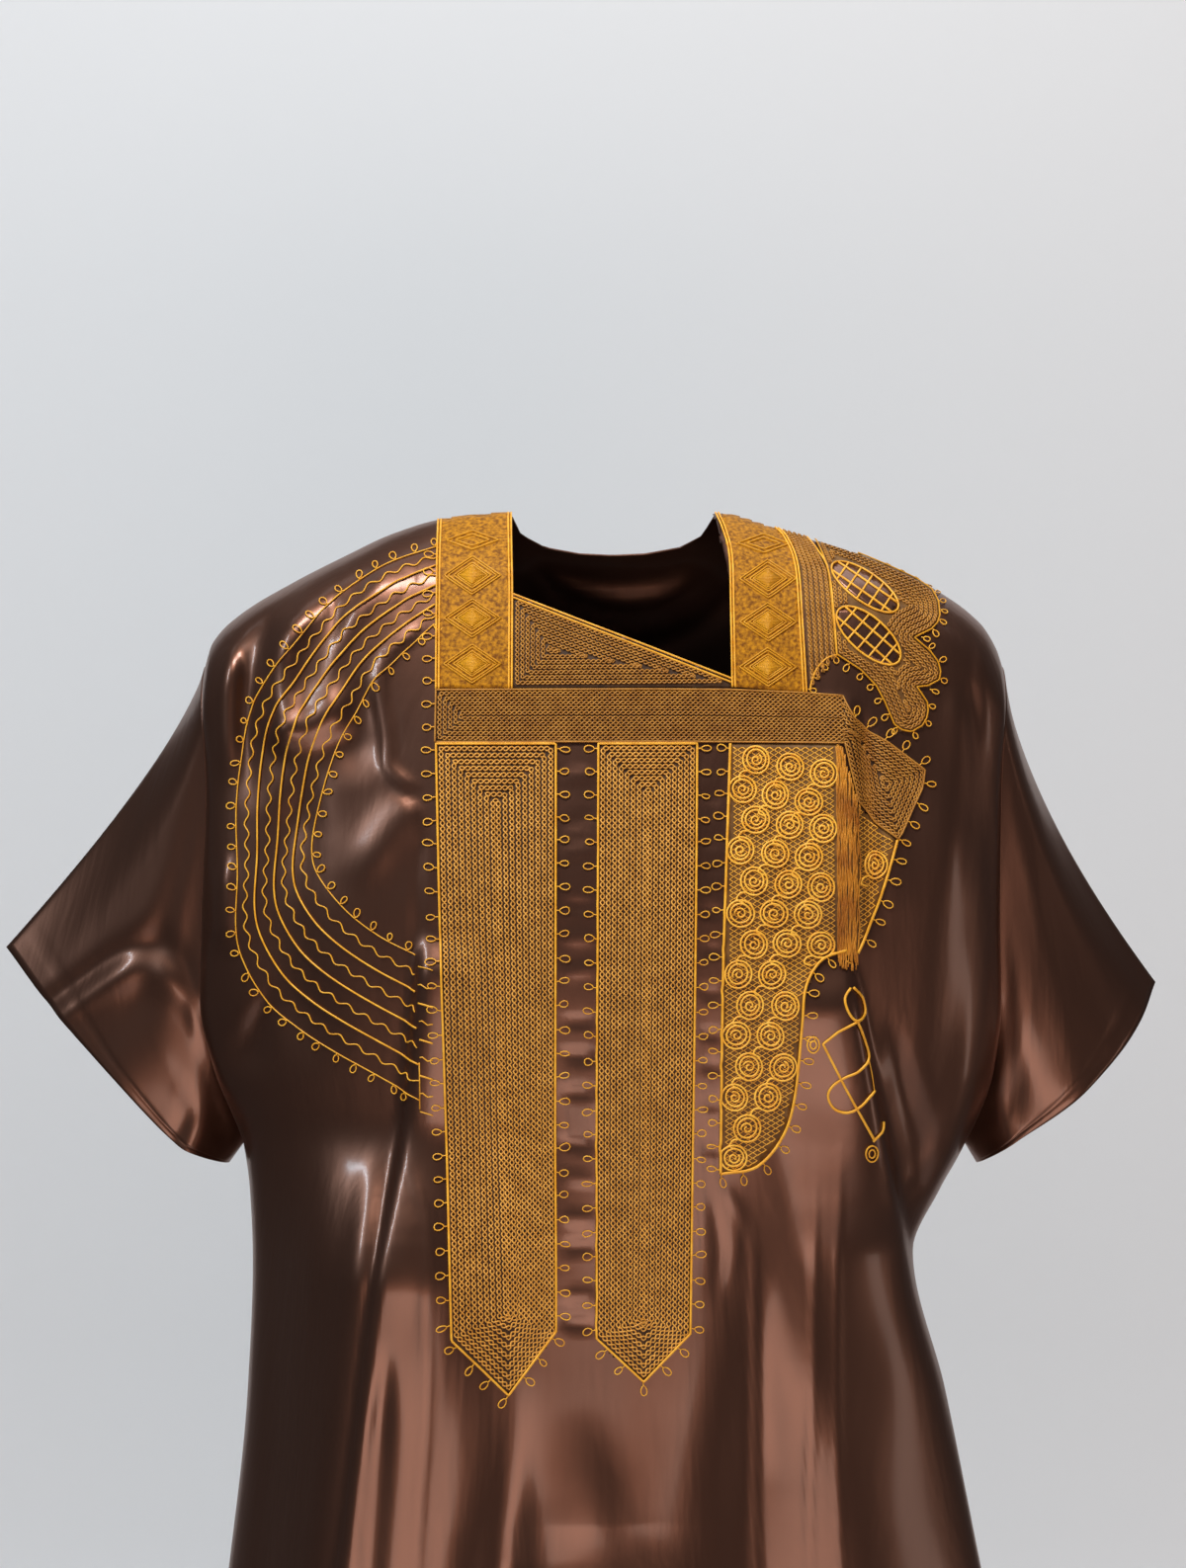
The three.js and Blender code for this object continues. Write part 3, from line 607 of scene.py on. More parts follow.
lobeGround = threadMaterial("lobeGround", (0.10, 0.042, 0.008), (0.19, 0.084, 0.016), 0.6)
# gold thread darkened as painted shade where the panel is folded over
foldShadedThread = threadMaterial("foldShadedThread", (0.36, 0.115, 0.008), (0.62, 0.25, 0.020), 0.5, grain=60.0)
print("materials ready")

neckline = {
    "front": [(-67, 40), (-67, -1), (-65, -55.5), (77, -110.5), (75.8, -50), (67, -1), (67, 40)],
    "back": [(-67, 40), (-67, 0), (-61, -12), (-45, -20), (-22, -24), (0, -25), (22, -24), (45, -20), (61, -12),
             (67, 0), (67, 40)],
    "snap": 2.7, "halfWidth": 80, "lowest": -120,  # the front's grid moves onto the edge within "snap" of it
}
panels = {
    "columns": {-1: 226, 1: 170}, "rollRows": 12, "upperRows": {-1: 150, 1: 118}, "lowerRows": 44,
    "upperEnd": -700.0, "tuckTurn": 1.08, "collarEnd": -150.0,
}


def panelPoints(face):
    # rows roll over the shoulder by equal angles, then fall to the hem; columns turn from seam to seam by equal
    # angles, and x is the half width * sin(turn), tucked in at the seams
    turn = np.linspace(-math.pi / 2, math.pi / 2, panels["columns"][face])
    topHalf = np.where(turn < 0, ring["right"](0.0), ring["left"](0.0))
    top = shoulder(topHalf * np.sin(turn))
    bend = np.linspace(0, math.pi / 2, panels["rollRows"])[:, None]
    rolled = top - dress["rollDrop"] * (1 - np.cos(bend))
    edgeTop = dress["shoulderEnd"] - dress["rollDrop"]
    levels = np.concatenate([
        np.linspace(edgeTop, panels["upperEnd"], panels["upperRows"][face])[1:],
        np.linspace(panels["upperEnd"], -dress["length"], panels["lowerRows"])[1:]])
    share = ((edgeTop - levels) / (edgeTop + dress["length"]))[:, None]
    fallen = (top - dress["rollDrop"]) * (1 - share) - dress["length"] * share
    z = np.vstack([rolled, fallen])
    turns = np.broadcast_to(turn, z.shape)
    half = np.where(turns < 0, ring["right"](z), ring["left"](z))
    edgeward = ease(np.abs(turns), panels["tuckTurn"], math.pi / 2) ** 2
    x = half * np.sin(turns) - np.sign(turns) * ring["tuck"](z) * edgeward
    if face > 0:  # the rows under the back neckline close up to it
        low = panels["collarEnd"]
        collar = np.interp(x[0], *zip(*neckline["back"][1:-1]), left=1e3, right=1e3)
        scooped = np.minimum(collar, top)
        z = np.where(z > low, low + (z - low) * ((scooped - low) / (top - low)), z)
    return x, z, turns


def clothPanel(name, face):
    # the panel's grid at y = face * depth; the front leaves out the squares whose middle lies in the neckline
    x, z, turns = panelPoints(face)
    if face < 0:
        away, nearX, nearZ = nearestOn(neckline["front"], x, z)
        moved = (away < neckline["snap"]) & (np.abs(x) < neckline["halfWidth"]) & (z > neckline["lowest"])
        x, z = np.where(moved, nearX, x), np.where(moved, np.minimum(nearZ, shoulder(nearX)), z)
        turns = np.where(moved, turnAt(x, z), turns)
    points = np.stack([x, face * bodyDepth(face, x, z, turns), z], -1).reshape(-1, 3)
    faces = gridFaces(*x.shape, flip=face > 0)
    if face < 0:
        middle = points[faces].mean(1)
        faces = faces[~inside(neckline["front"], middle[:, 0], middle[:, 2])]
    piece = newMesh(name, *onlyUsed(points, faces), satinCloth, "satin")
    addWall(piece, dress["wall"])
    return piece


front = clothPanel("frontCloth", -1)
back = clothPanel("backCloth", 1)
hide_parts("front")
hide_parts("back")
print("front and back ready")

cuffs = {  # turn around the sleeve, then the cuff's x, y and z
    "right": [(0, -398, 0, -285), (35, -370, -22, -318), (90, -326, -40, -366), (135, -277, -42, -415),
              (180, -253, 0, -425), (225, -270, 46, -414), (270, -320, 44, -362), (325, -368, 24, -316),
              (360, -398, 0, -285)],
    "left": [(0, 356, 0, -308), (35, 343, -22, -333), (90, 303, -42, -379), (135, 262, -44, -409),
             (180, 240, 0, -425), (225, 262, 46, -409), (270, 302, 44, -377), (325, 342, 24, -332),
             (360, 356, 0, -308)],
}
sleeveFall = {"right": (46, 32), "left": (-38, 15)}
sleeveFolds = {  # turn near the armhole and at the cuff, width in degrees, height, and where along it starts
    "right": [(52, 46, 24, 3, 0.0), (112, 38, 6, -3.6, 0.0), (121, 47, 7, 3.4, 0.0), (134, 100, 16, 2.2, 0.2),
              (132, 126, 5, -1.2, 0.3), (140, 136, 6, 1.2, 0.3), (236, 250, 14, -9, 0.1),
              (290, 300, 12, 7, 0.1), (262, 268, 6, 4, 0.3), (318, 322, 7, -4, 0.2)],
    "left": [(58, 54, 24, 5, 0.0), (100, 100, 24, 5, 0.0), (132, 130, 14, -2.4, 0.2),
             (244, 256, 14, 8, 0.1), (282, 292, 13, -9, 0.1), (310, 316, 7, 4, 0.3)],
}
sleeveGrid = {"around": 190, "along": 64}
sleeveShape = {
    "under": 0.5, "gap": 0.6, "below": 1.4, "sag": 1.5, "opening": 0.45,
    "waves": 14, "waveHeight": 0.14, "turns": (3, 12), "slant": 7, "phase": 6.28, "waveStart": 0.3,
    "length": 190.0, "hem": 12.0, "hemDepth": 0.7, "hemWidth": 2.2,
}


def sleevePoints(side):
    # start * (1 - t)^2 + middle * 2t(1 - t) + cuff * t^2, from the armhole's edge through a sagging middle to
    # the cuff; the folds lift it to the front and to the back
    sign = -1 if side == "right" else 1
    shape = sleeveShape
    turn, along = np.meshgrid(np.linspace(0, 360, sleeveGrid["around"], endpoint=False),
                              np.linspace(0, 1, sleeveGrid["along"]))
    top, low = dress["shoulderEnd"], dress["underarm"]
    upward = np.cos(np.radians(turn))
    z0 = (top + low) / 2 + (top - low) / 2 * upward
    roll = np.sqrt(1 - (1 - np.clip((top - z0) / dress["rollDrop"], 0, 1)) ** 2)
    isFront = turn <= 180
    opened = np.where(isFront, -armholeDepth(-1, z0), armholeDepth(1, z0)) * roll
    under = ease(-upward, shape["under"], 1)
    start = np.stack([sign * (ring[side](z0) - ring["tuck"](z0) + shape["gap"]), opened,
                      z0 - shape["below"] * under], -1)
    rows = cuffs[side]
    cuff = np.stack([smoothReading([r[0] for r in rows], [r[k] for r in rows])(turn) for k in (1, 2, 3)], -1)
    fallX, fallZ = sleeveFall[side]
    lifted = np.maximum(upward, 0) ** shape["sag"]
    middle = (start + cuff) / 2 + np.stack([fallX * lifted, 0 * lifted, fallZ * lifted], -1)
    t = along[..., None]
    p = start * (1 - t) ** 2 + middle * 2 * t * (1 - t) + cuff * t ** 2
    lift = np.zeros(turn.shape)
    for near, far, width, out, begin in sleeveFolds[side]:
        across = turn - (near + (far - near) * along)
        lift += out * np.exp(-(across / width) ** 2) * ease(along, begin, begin + shape["opening"])
    waves = np.random.default_rng(5 if sign < 0 else 6)
    for _ in range(shape["waves"]):  # faint unevenness, as on the body
        often, slant = waves.integers(*shape["turns"]), waves.normal(0, shape["slant"])
        phase = waves.uniform(0, shape["phase"])
        wave = np.sin(np.radians(turn) * often + along * slant + phase)
        lift += shape["waveHeight"] * wave * ease(along, 0, shape["waveStart"])
    toCuff = (1 - along) * shape["length"]
    lift -= shape["hemDepth"] * np.exp(-((toCuff - shape["hem"]) / shape["hemWidth"]) ** 2)
    p[..., 1] += np.where(isFront, -lift, lift) * np.sin(np.radians(turn % 180)) ** 0.5
    return p


sleeves = {}
for side in ("right", "left"):
    sleeves[side] = newMesh(
        f"sleeveCloth{side.title()}", sleevePoints(side).reshape(-1, 3),
        gridFaces(sleeveGrid["along"], sleeveGrid["around"], flip=side == "left", wrap=True), satinCloth,
        "satin")
    addWall(sleeves[side], dress["wall"])
    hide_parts(f"sleeve_{side}")
print("sleeves ready")

# heights above the cloth's base surface, then the steps along cords and outlines
stitch = {
    "ground": 1.35, "row": 2.35, "cord": 2.5, "bold": 2.1, "picot": 1.75,
    "step": 1.6, "fine": 0.8, "curve": 6,
}


def spread(path, step, closed=False):
    # the path again, with points at equal steps along the draped cloth
    p = np.array(path, float)
    if closed:
        p = np.vstack([p, p[:1]])
    counts = [max(2, int(np.hypot(*(b - a)) / stitch["fine"]) + 1) for a, b in zip(p[:-1], p[1:])]
    parts = [np.linspace(a, b, n, endpoint=False) for a, b, n in zip(p[:-1], p[1:], counts)]
    fine = np.concatenate(parts + [p[-1:]])
    place, _ = onFront(fine[:, 0], fine[:, 1])
    run = np.concatenate([[0], np.cumsum(np.linalg.norm(np.diff(place, axis=0), axis=1))])
    at = np.linspace(0, run[-1], max(2, int(round(run[-1] / step)) + 1))
    out = np.stack([np.interp(at, run, fine[:, k]) for k in (0, 1)], -1)
    return out[:-1] if closed else out


def cord(path, closed=False):
    # a path of straight stretches, ready to be laid as a cord
    return spread(path, stitch["step"], closed)


def bentCord(path):
    # a smooth curve through the path, ready to be laid as a cord
    return spread(curveThrough(path, stitch["curve"]), stitch["step"])


def sidewaysOf(path, closed=False):
    # the unit direction to the left of a path at each of its points
    p = np.array(path, float)
    ahead = np.roll(p, -1, 0) - np.roll(p, 1, 0) if closed else np.gradient(p, axis=0)
    ahead /= np.maximum(np.hypot(*ahead.T), 1e-9)[:, None]
    return np.stack([-ahead[:, 1], ahead[:, 0]], -1)


def unit(vectors):
    # each row divided by its length
    return vectors / np.maximum(np.linalg.norm(vectors, axis=1, keepdims=True), 1e-9)


def layThread(name, runs, radius, sides, material, height, closed=False):
    # round threads, centre + radius * (cos aside + sin up), along runs of (x, z) or (x, z, extra height) that
    # lie "height" above the cloth's base surface
    sizes = [len(r) for r in runs]
    every = np.concatenate([np.hstack([r, np.zeros((len(r), 1))]) if r.shape[1] == 2 else r for r in runs])
    place, normal = onFront(every[:, 0], every[:, 1], height + every[:, 2])
    total = len(every)
    starts = np.concatenate([[0], np.cumsum(sizes)[:-1]])
    ends = np.cumsum(sizes) - 1
    after, before = np.arange(total) + 1, np.arange(total) - 1
    after[ends], before[starts] = (starts, ends) if closed else (ends, starts)
    along = unit(place[after] - place[before])
    aside = unit(np.cross(along, normal))
    up = np.cross(aside, along)
    angle = ((np.arange(sides) + 0.5) * 2 * math.pi / sides)[None, :, None]
    points = place[:, None] + radius * (np.cos(angle) * aside[:, None] + np.sin(angle) * up[:, None])
    here = (np.arange(total) if closed else np.delete(np.arange(total), ends))[:, None]
    k = np.arange(sides)
    nextSide = (k + 1) % sides
    faces = np.stack([here * sides + k, here * sides + nextSide,
                      after[here] * sides + nextSide, after[here] * sides + k], -1).reshape(-1, 4)
    if not closed:  # caps: one quad on a square thread, two on a six-sided one
        fans = [(0, 3, 2, 1)] if sides == 4 else [(0, 3, 2, 1), (0, 5, 4, 3)]
        caps = [starts[:, None] * sides + np.array(f) for f in fans]
        caps += [ends[:, None] * sides + np.array(f[::-1]) for f in fans]
        faces = np.concatenate([faces] + caps)
    newMesh(name, points.reshape(-1, 3), faces, material, "gold_thread")


def chainRuns(path, link, half, closed=False, over=0.35, widest=None):
    # two threads that cross at every stitch: half * sin(pi * stitch) to each side, one over the other in turn;
    # full width at the place "widest"
    p = spread(path, link / 4, closed)
    if closed and len(p) % 8:  # a closed row has a whole number of crossings
        at = np.linspace(0, len(p), max(8, round(len(p) / 8) * 8), endpoint=False)
        p = np.stack([np.interp(at, np.arange(len(p) + 1), np.append(p[:, k], p[0, k])) for k in (0, 1)], -1)
    s = np.arange(len(p)) / 4 * math.pi
    if widest is not None:
        s += math.pi / 2 - s[np.hypot(p[:, 0] - widest[0], p[:, 1] - widest[1]).argmin()]
    wide = half * np.sin(s)[:, None] * sidewaysOf(p, closed)
    rise = over * np.cos(s)[:, None]
    return [np.hstack([p + wide, rise]), np.hstack([p - wide, -rise])]


inset = {"step": 0.7, "corner": -0.05, "slack": 0.2, "gap": 2.6, "fewest": 6}


def insetRuns(outline, distance, keep):
    # the runs at an even distance inside an outline; corners are trimmed by the true distance to it
    p = np.array(outline, float)
    area = 0.5 * np.sum(p[:, 0] * np.roll(p[:, 1], -1) - np.roll(p[:, 0], -1) * p[:, 1])
    if area < 0:
        p = p[::-1]
    q = np.vstack([p, p[:1]])
    edge, inward = [], []
    sides = [np.array([-(b - a)[1], (b - a)[0]]) / np.hypot(*(b - a)) for a, b in zip(q[:-1], q[1:])]
    for a, b, side, ahead in zip(q[:-1], q[1:], sides, sides[1:] + sides[:1]):
        n = max(2, int(np.hypot(*(b - a)) / inset["step"]))
        edge.append(np.linspace(a, b, n, endpoint=False))
        inward.append(np.repeat(side[None], n, 0))
        turn = math.atan2(side[0] * ahead[1] - side[1] * ahead[0], side @ ahead)
        if turn < inset["corner"]:  # an inner corner: the run swings round it
            swing = np.linspace(0, turn, max(2, int(-turn * distance / inset["step"])))
            edge.append(np.repeat(b[None], len(swing), 0))
            inward.append(np.stack([side[0] * np.cos(swing) - side[1] * np.sin(swing),
                                    side[0] * np.sin(swing) + side[1] * np.cos(swing)], -1))
    inner = np.concatenate(edge) + distance * np.concatenate(inward)
    away, _, _ = nearestOn(outline, inner[:, 0], inner[:, 1])
    good = inside(outline, inner[:, 0], inner[:, 1]) & (away > distance - inset["slack"])
    if keep:
        good &= keep(inner[:, 0], inner[:, 1])
    inner = inner[good]
    if len(inner) < inset["fewest"]:
        return []
    gaps = np.hypot(*(np.roll(inner, -1, 0) - inner).T)
    breaks = np.nonzero(gaps > inset["gap"])[0]
    if not len(breaks):
        return [(inner, True)]
    inner = np.roll(inner, -(breaks[-1] + 1), 0)
    gaps = np.hypot(*np.diff(inner, axis=0).T)
    parts = np.split(inner, np.nonzero(gaps > inset["gap"])[0] + 1)
    return [(part, False) for part in parts if len(part) > inset["fewest"]]


def chainFill(name, outline, pitch, link, half, thick, first, keep=None):
    # concentric rows of chain stitch inside an outline, "pitch" apart, from "first" inwards
    openRuns, loopRuns = [], []
    distance = first
    found = insetRuns(outline, distance, keep)
    while found:
        for path, isLoop in found:
            if np.hypot(*np.diff(path, axis=0).T).sum() > link * 1.6:
                thinned = path[::2] if len(path) > 20 else path
                (loopRuns if isLoop else openRuns).extend(chainRuns(thinned, link, half, isLoop))
        distance += pitch
        found = insetRuns(outline, distance, keep)
    if openRuns:
        layThread(name, openRuns, thick, 4, chainThread, stitch["row"])
    if loopRuns:
        layThread(name + "Loops", loopRuns, thick, 4, chainThread, stitch["row"], closed=True)


def plate(name, outline, material, step=2.6, top=0.45, low=stitch["ground"]):
    # a thin sheet of close stitches under the rows: a square grid cut to an outline, its edge moved onto it
    p = np.array(outline, float)
    x, z = np.meshgrid(np.arange(p[:, 0].min() - step, p[:, 0].max() + 2 * step, step),
                       np.arange(p[:, 1].min() - step, p[:, 1].max() + 2 * step, step))
    away, nearX, nearZ = nearestOn(outline, x, z)
    near = away < step * 0.62
    flat = np.stack([np.where(near, nearX, x), np.where(near, nearZ, z)], -1).reshape(-1, 2)
    faces = gridFaces(*x.shape, flip=True)
    middleX, middleZ = flat[faces].mean(1).T
    faces = faces[inside(outline, middleX, middleZ) & (middleZ < shoulder(middleX) - 0.5)]
    flat, faces = onlyUsed(flat, faces)
    place, _ = onFront(flat[:, 0], flat[:, 1], low)
    piece = newMesh(name, place, faces, material, "gold_thread")
    addWall(piece, top)
    return piece


picot = {"length": (0.88, 1.12), "width": (0.85, 1.15), "points": 11, "neck": 0.72, "rise": (0.5, -0.3),
         "foot": 0.4}


def picots(path, step, size, flip=1, stalk=2.6, skip=0, lean=0.1):
    # small loops on short stalks, standing out from the left of a path (flip 1) or from its right (-1): an
    # ellipse that narrows towards its stalk, of uneven length, width and lean
    p = spread(path, step)
    p, out = p[skip:], sidewaysOf(p)[skip:] * flip
    along = np.stack([out[:, 1], -out[:, 0]], -1)
    uneven = np.random.default_rng(len(p))
    turn = np.linspace(0, 2 * math.pi, picot["points"])
    outward = (1 - np.cos(turn)) / 2
    height = np.linspace(*picot["rise"], picot["points"])[:, None]
    runs = []
    for k in range(len(p)):
        far, wide = size[0] * uneven.uniform(*picot["length"]), size[1] * uneven.uniform(*picot["width"])
        tilt = lean * uneven.normal()
        o = out[k] * math.cos(tilt) + along[k] * math.sin(tilt)
        s = np.array([o[1], -o[0]])
        reach = stalk + far * outward
        across = wide / 2 * np.sin(turn) * (picot["neck"] + (1 - picot["neck"]) * outward)
        loop = p[k] + reach[:, None] * o + across[:, None] * s
        foot = [[*p[k], picot["foot"]], [*(p[k] + o * stalk * 0.5), picot["foot"]]]
        runs.append(np.vstack([foot, np.hstack([loop, height])]))
    return runs


def pathBetween(a, b, share, count=80):
    # a * (1 - share) + b * share, both paths read by their share of length
    def read(path):
        p = np.array(path, float)
        run = np.concatenate([[0], np.cumsum(np.hypot(*np.diff(p, axis=0).T))])
        at = np.linspace(0, run[-1], count)
        return np.stack([np.interp(at, run, p[:, k]) for k in (0, 1)], -1)
    return read(a) * (1 - share) + read(b) * share


def oval(centre, far, wide, turned, count=24):
    # an ellipse: centre + far * cos along the turned direction + wide * sin across it
    t = np.linspace(0, 2 * math.pi, count, endpoint=False)
    c, s = math.cos(math.radians(turned)), math.sin(math.radians(turned))
    u, v = far * np.cos(t), wide * np.sin(t)
    return np.stack([centre[0] + u * c - v * s, centre[1] + u * s + v * c], -1)


outlines = {
    "neckBandRight": [(-113.5, 30), (-67.0, 30), (-65.0, -55), (-64.6, -116.6), (-113.5, -116.6)],
    "neckBandLeft": [(67.2, 30), (74.9, -32), (75.6, -115.6), (123, -119), (119, -38), (111, 30)],
    "neckTriangle": [(-64.8, -56.2), (-64.8, -116.6), (76.4, -115.4), (75.6, -111.0)],
    "knifeOuter": [(-112.5, -152), (-36.5, -152), (-36.5, -520.5), (-66.5, -559.5), (-102, -524)],
    "knifeInner": [(-9.5, -152), (53, -152), (48, -523), (18.7, -553), (-11.2, -525.3)],
    "roundelPanel": [(74, -152), (143.4, -152), (152.8, -189.4), (179.8, -213.2), (170.5, -247), (162, -265.5),
                     (154, -284), (147, -282), (131, -288.5), (121, -305), (118.6, -329), (114.5, -372),
                     (107, -398), (90, -418), (67, -422.5), (68.5, -305)],
    "shoulderLobes": [(125, -14.5), (132, -18), (138.6, -38), (142.6, -94.5), (158, -104.6), (167.7, -114.8),
                      (173, -125), (179, -139.5), (184, -143), (190, -144), (197, -140), (200, -135),
                      (201, -130), (200.5, -125), (194, -115.2), (201, -114.5), (208.5, -110.5), (209.5, -105),
                      (208, -99), (203, -92), (193, -83.5), (204, -78.5), (208, -74.5), (210, -69.5),
                      (210, -60), (207, -52), (198, -45), (180, -36.5), (160, -27.5), (140, -20.5)],
}

# neck bands: stippled ground, bright cords on both edges, three stepped diamonds and a faint one
bandPlates = [plate("neckBandRight", outlines["neckBandRight"], stippleThread, top=0.8),
              plate("neckBandLeft", outlines["neckBandLeft"], stippleThread, top=0.8)]
bands = {
    "right": {"inner": [(-66.6, -1.5), (-65.6, -30), (-64.9, -56), (-64.7, -117)],
              "outer": [(-114, -6), (-113.6, -50), (-113, -117)],
              "diamonds": [(-90.6, -43.8), (-90.3, -71.6), (-90.0, -101.0)], "faint": (-91.0, -20.5)},
    "left": {"inner": [(67.2, -1.5), (71.5, -14), (75.0, -32), (75.4, -70), (75.6, -116)],
             "outer": [(107.5, -11), (113, -18), (119.2, -37.5), (121.6, -80), (123.1, -119.3)],
             "diamonds": [(99.6, -46.0), (99.1, -74.0), (98.6, -103.0)], "faint": (97.5, -22.5)},
}
diamond = {
    "size": (18.2, 12.4), "steps": (1.0, 0.86, 0.66, 0.54), "faint": [(17, 6.5), (11, 4)], "spread": 1.5,
    "rows": 6, "rowStep": 0.88, "rowHalf": 8.4, "edgeRise": 0.1, "middleRise": 0.9, "cordGap": 1.9,
}
bandCords, diamondCords, diamondRows = [], [], []
for side in bands.values():
    for name in ("inner", "outer"):
        path = np.array(side[name], float)
        gap = diamond["cordGap"] if (path[:, 0].mean() < 0) == (name == "outer") else -diamond["cordGap"]
        bandCords += [bentCord(path), bentCord(path + [gap, 0])]
    for x, z in side["diamonds"]:
        for share in diamond["steps"]:
            far, wide = share * diamond["size"][0], share * diamond["size"][1]
            diamondCords.append(spread(oval((x, z), far, wide, 0, 4), diamond["spread"], closed=True))
        for k in range(-diamond["rows"], diamond["rows"] + 1):
            half = diamond["rowHalf"] * (1 - abs(k) / (diamond["rows"] + 1))
            level = z + k * diamond["rowStep"]
            diamondRows.append(np.array([(x - half, level, diamond["edgeRise"]), (x, level,
                                                                                  diamond["middleRise"]),
                                         (x + half, level, diamond["edgeRise"])]))
    for far, wide in diamond["faint"]:
        diamondCords.append(spread(oval(side["faint"], far, wide, 0, 4), diamond["spread"], closed=True))
layThread("neckBandCords", bandCords, 0.66, 6, brightThread, stitch["cord"] + 0.2)
layThread("lozengeCords", diamondCords, 0.62, 4, bandThread, stitch["cord"] - 0.1, closed=True)
layThread("lozengeSatin", diamondRows, 0.62, 4, bandThread, stitch["cord"] - 0.2)

# the narrow band of upright rows beside the left neck band, up to its own bright cord
sideBand = {"from": [(109, -12), (115.6, -20), (121.2, -38), (123.6, -80), (125.2, -117)],
            "to": [(126.5, -17), (132.2, -26), (138.6, -40), (141.6, -70), (142.8, -95)],
            "foot": [(142.8, -95), (136, -97.5), (130, -104), (126.5, -112), (125.4, -118)],
            "return": [(123.4, -80), (120.6, -38), (115, -20)],
            "rows": 5, "firstRow": 0.6, "rowsAcross": 5.3, "link": 3.2, "half": 0.85}
rows = []
for k in range(sideBand["rows"]):
    share = (k + sideBand["firstRow"]) / sideBand["rowsAcross"]
    rows += chainRuns(pathBetween(sideBand["from"], sideBand["to"], share), sideBand["link"], sideBand["half"])
layThread("sideBandRows", rows, 0.62, 4, chainThread, stitch["row"])
plate("sideBandGround", [(110, -12)] + sideBand["to"] + sideBand["foot"][1:] + sideBand["return"], lobeGround)
layThread("sideBandCord", [bentCord(sideBand["to"]), bentCord(sideBand["foot"])],
          0.62, 6, brightThread, stitch["cord"])
print("neck bands ready")

# neck triangle: concentric rows of chain stitch on a dark ground, darker than the cloth as painted shade
# between the rows, under two bright cords
chainFill("triangleRows", outlines["neckTriangle"], 3.3, 3.2, 1.1, 0.5, first=3.4)
trianglePlate = plate("neckTriangle", outlines["neckTriangle"], groundAndGapShade)
triangleCords = [cord([(-65.2, -55.6), (75.8, -110.6)]), cord([(-65.2, -57.8), (75.0, -112.8)])]
layThread("triangleCords", triangleCords, 0.62, 6, brightThread, stitch["cord"])

# chest band: rows that turn back at the right end, and a flap at the left end
chest = {"upper": [(-112.2, -117.6), (20, -117.3), (75.2, -117.6), (120, -119.4), (146, -121.6)],
         "lower": [(-112.2, -150.8), (20, -150.6), (90, -150.8), (146.5, -151.2)],
         "flapUpper": [(146, -121.6), (152, -136), (175, -151), (198.4, -168.5)],
         "flapEnd": [(197.5, -176), (196.3, -181), (190, -194), (183, -209), (180.5, -212.3)],
         "flapLower": [(146.5, -151.2), (153.7, -188.6), (166, -201), (180.5, -212.3)],
         "rows": 5, "firstRow": 0.75, "rowsAcross": 10.6, "edge": -112, "firstInset": 1.6, "pitch": 3.35,
         "link": 3.3, "half": 1.12, "flapFrom": 145.6}
rows = []
for k in range(chest["rows"]):
    share = (k + chest["firstRow"]) / chest["rowsAcross"]
    end = chest["edge"] + chest["firstInset"] + chest["pitch"] * k
    top = pathBetween(chest["upper"], chest["lower"], share)
    bottom = pathBetween(chest["upper"], chest["lower"], 1 - share)
    top, bottom = top[top[:, 0] > end + 0.5], bottom[bottom[:, 0] > end + 0.5]
    turning = [(end, top[0, 1] - 0.8), (end, bottom[0, 1] + 0.8)]
    rows += chainRuns(np.vstack([top[::-1], turning, bottom]), chest["link"], chest["half"])
flap = [(116, -121.6)] + chest["flapUpper"] + chest["flapEnd"] + chest["flapLower"][2::-1] + [(116, -151.2)]
chainFill("flapRows", flap, 3.0, 3.1, 0.92, 0.54, first=1.7, keep=lambda x, z: x > chest["flapFrom"])
layThread("chestBandRows", rows, 0.5, 4, chainThread, stitch["row"])
chestOutline = (chest["upper"] + chest["flapUpper"][1:] + [(196.3, -181)]
                + chest["flapLower"][::-1] + chest["lower"][::-1][1:])
# the chest band's dark ground is painted shade between its rows
chestPlate = plate("chestBand", chestOutline, groundAndGapShade)
chestCords = [cord(path) for path in (chest["upper"], chest["lower"], [(-113, -117), (-113.2, -151)],
                                      chest["flapUpper"] + chest["flapEnd"], chest["flapLower"])]
layThread("chestBandCords", chestCords, 0.6, 6, chainThread, stitch["cord"])

# knives: rows of chain stitch, one inside the other, each a rectangle that ends in a point
knives = {  # edges at the top and above the point, the point, and how many rows go round
    "knifeOuter": {"top": (-112.5, -36.5), "low": (-102, -36.5, -522), "point": (-66.5, -559.5), "rows": 9},
    "knifeInner": {"top": (-9.5, 53), "low": (-11.2, 48, -524), "point": (18.7, -553), "rows": 8},
}
knifeRow = {"level": -152, "first": 0.78, "spare": 0.2, "lowRise": 0.34, "pointRise": 1.5, "link": 3.75,
            "half": 1.34}
knifePlates, knifeCords = {}, []
for name, knife in knives.items():
    (topLeft, topRight), (lowLeft, lowRight, lowZ), (pointX,
                                                     pointZ) = knife["top"], knife["low"], knife["point"]
    rows, half = [], (topRight - topLeft) / 2
    for k in range(knife["rows"]):
        share = (k + knifeRow["first"]) / (knife["rows"] + knifeRow["spare"])
        inwards = share * half
        level, low = knifeRow["level"] - inwards, lowZ + knifeRow["lowRise"] * inwards
        tip = (pointX, min(low - 1.5, pointZ + knifeRow["pointRise"] * inwards))
        rowPath = [(topLeft + inwards, level), (topRight - inwards, level),
                   (lowRight - share * (lowRight - pointX), low), tip, (lowLeft + share * (pointX - lowLeft),
                                                                        low)]
        rows += chainRuns(rowPath, knifeRow["link"], knifeRow["half"], closed=True, widest=tip)
    layThread(name + "Rows", rows, 0.56, 4, knifeThread, stitch["row"], closed=True)
    # the knife's dark ground is painted shade between its rows
    knifePlates[name] = plate(name, outlines[name], groundAndGapShade)
    knifeCords.append(cord(outlines[name], closed=True))
layThread("knifeCords", knifeCords, 0.8, 6, brightThread, stitch["cord"], closed=True)
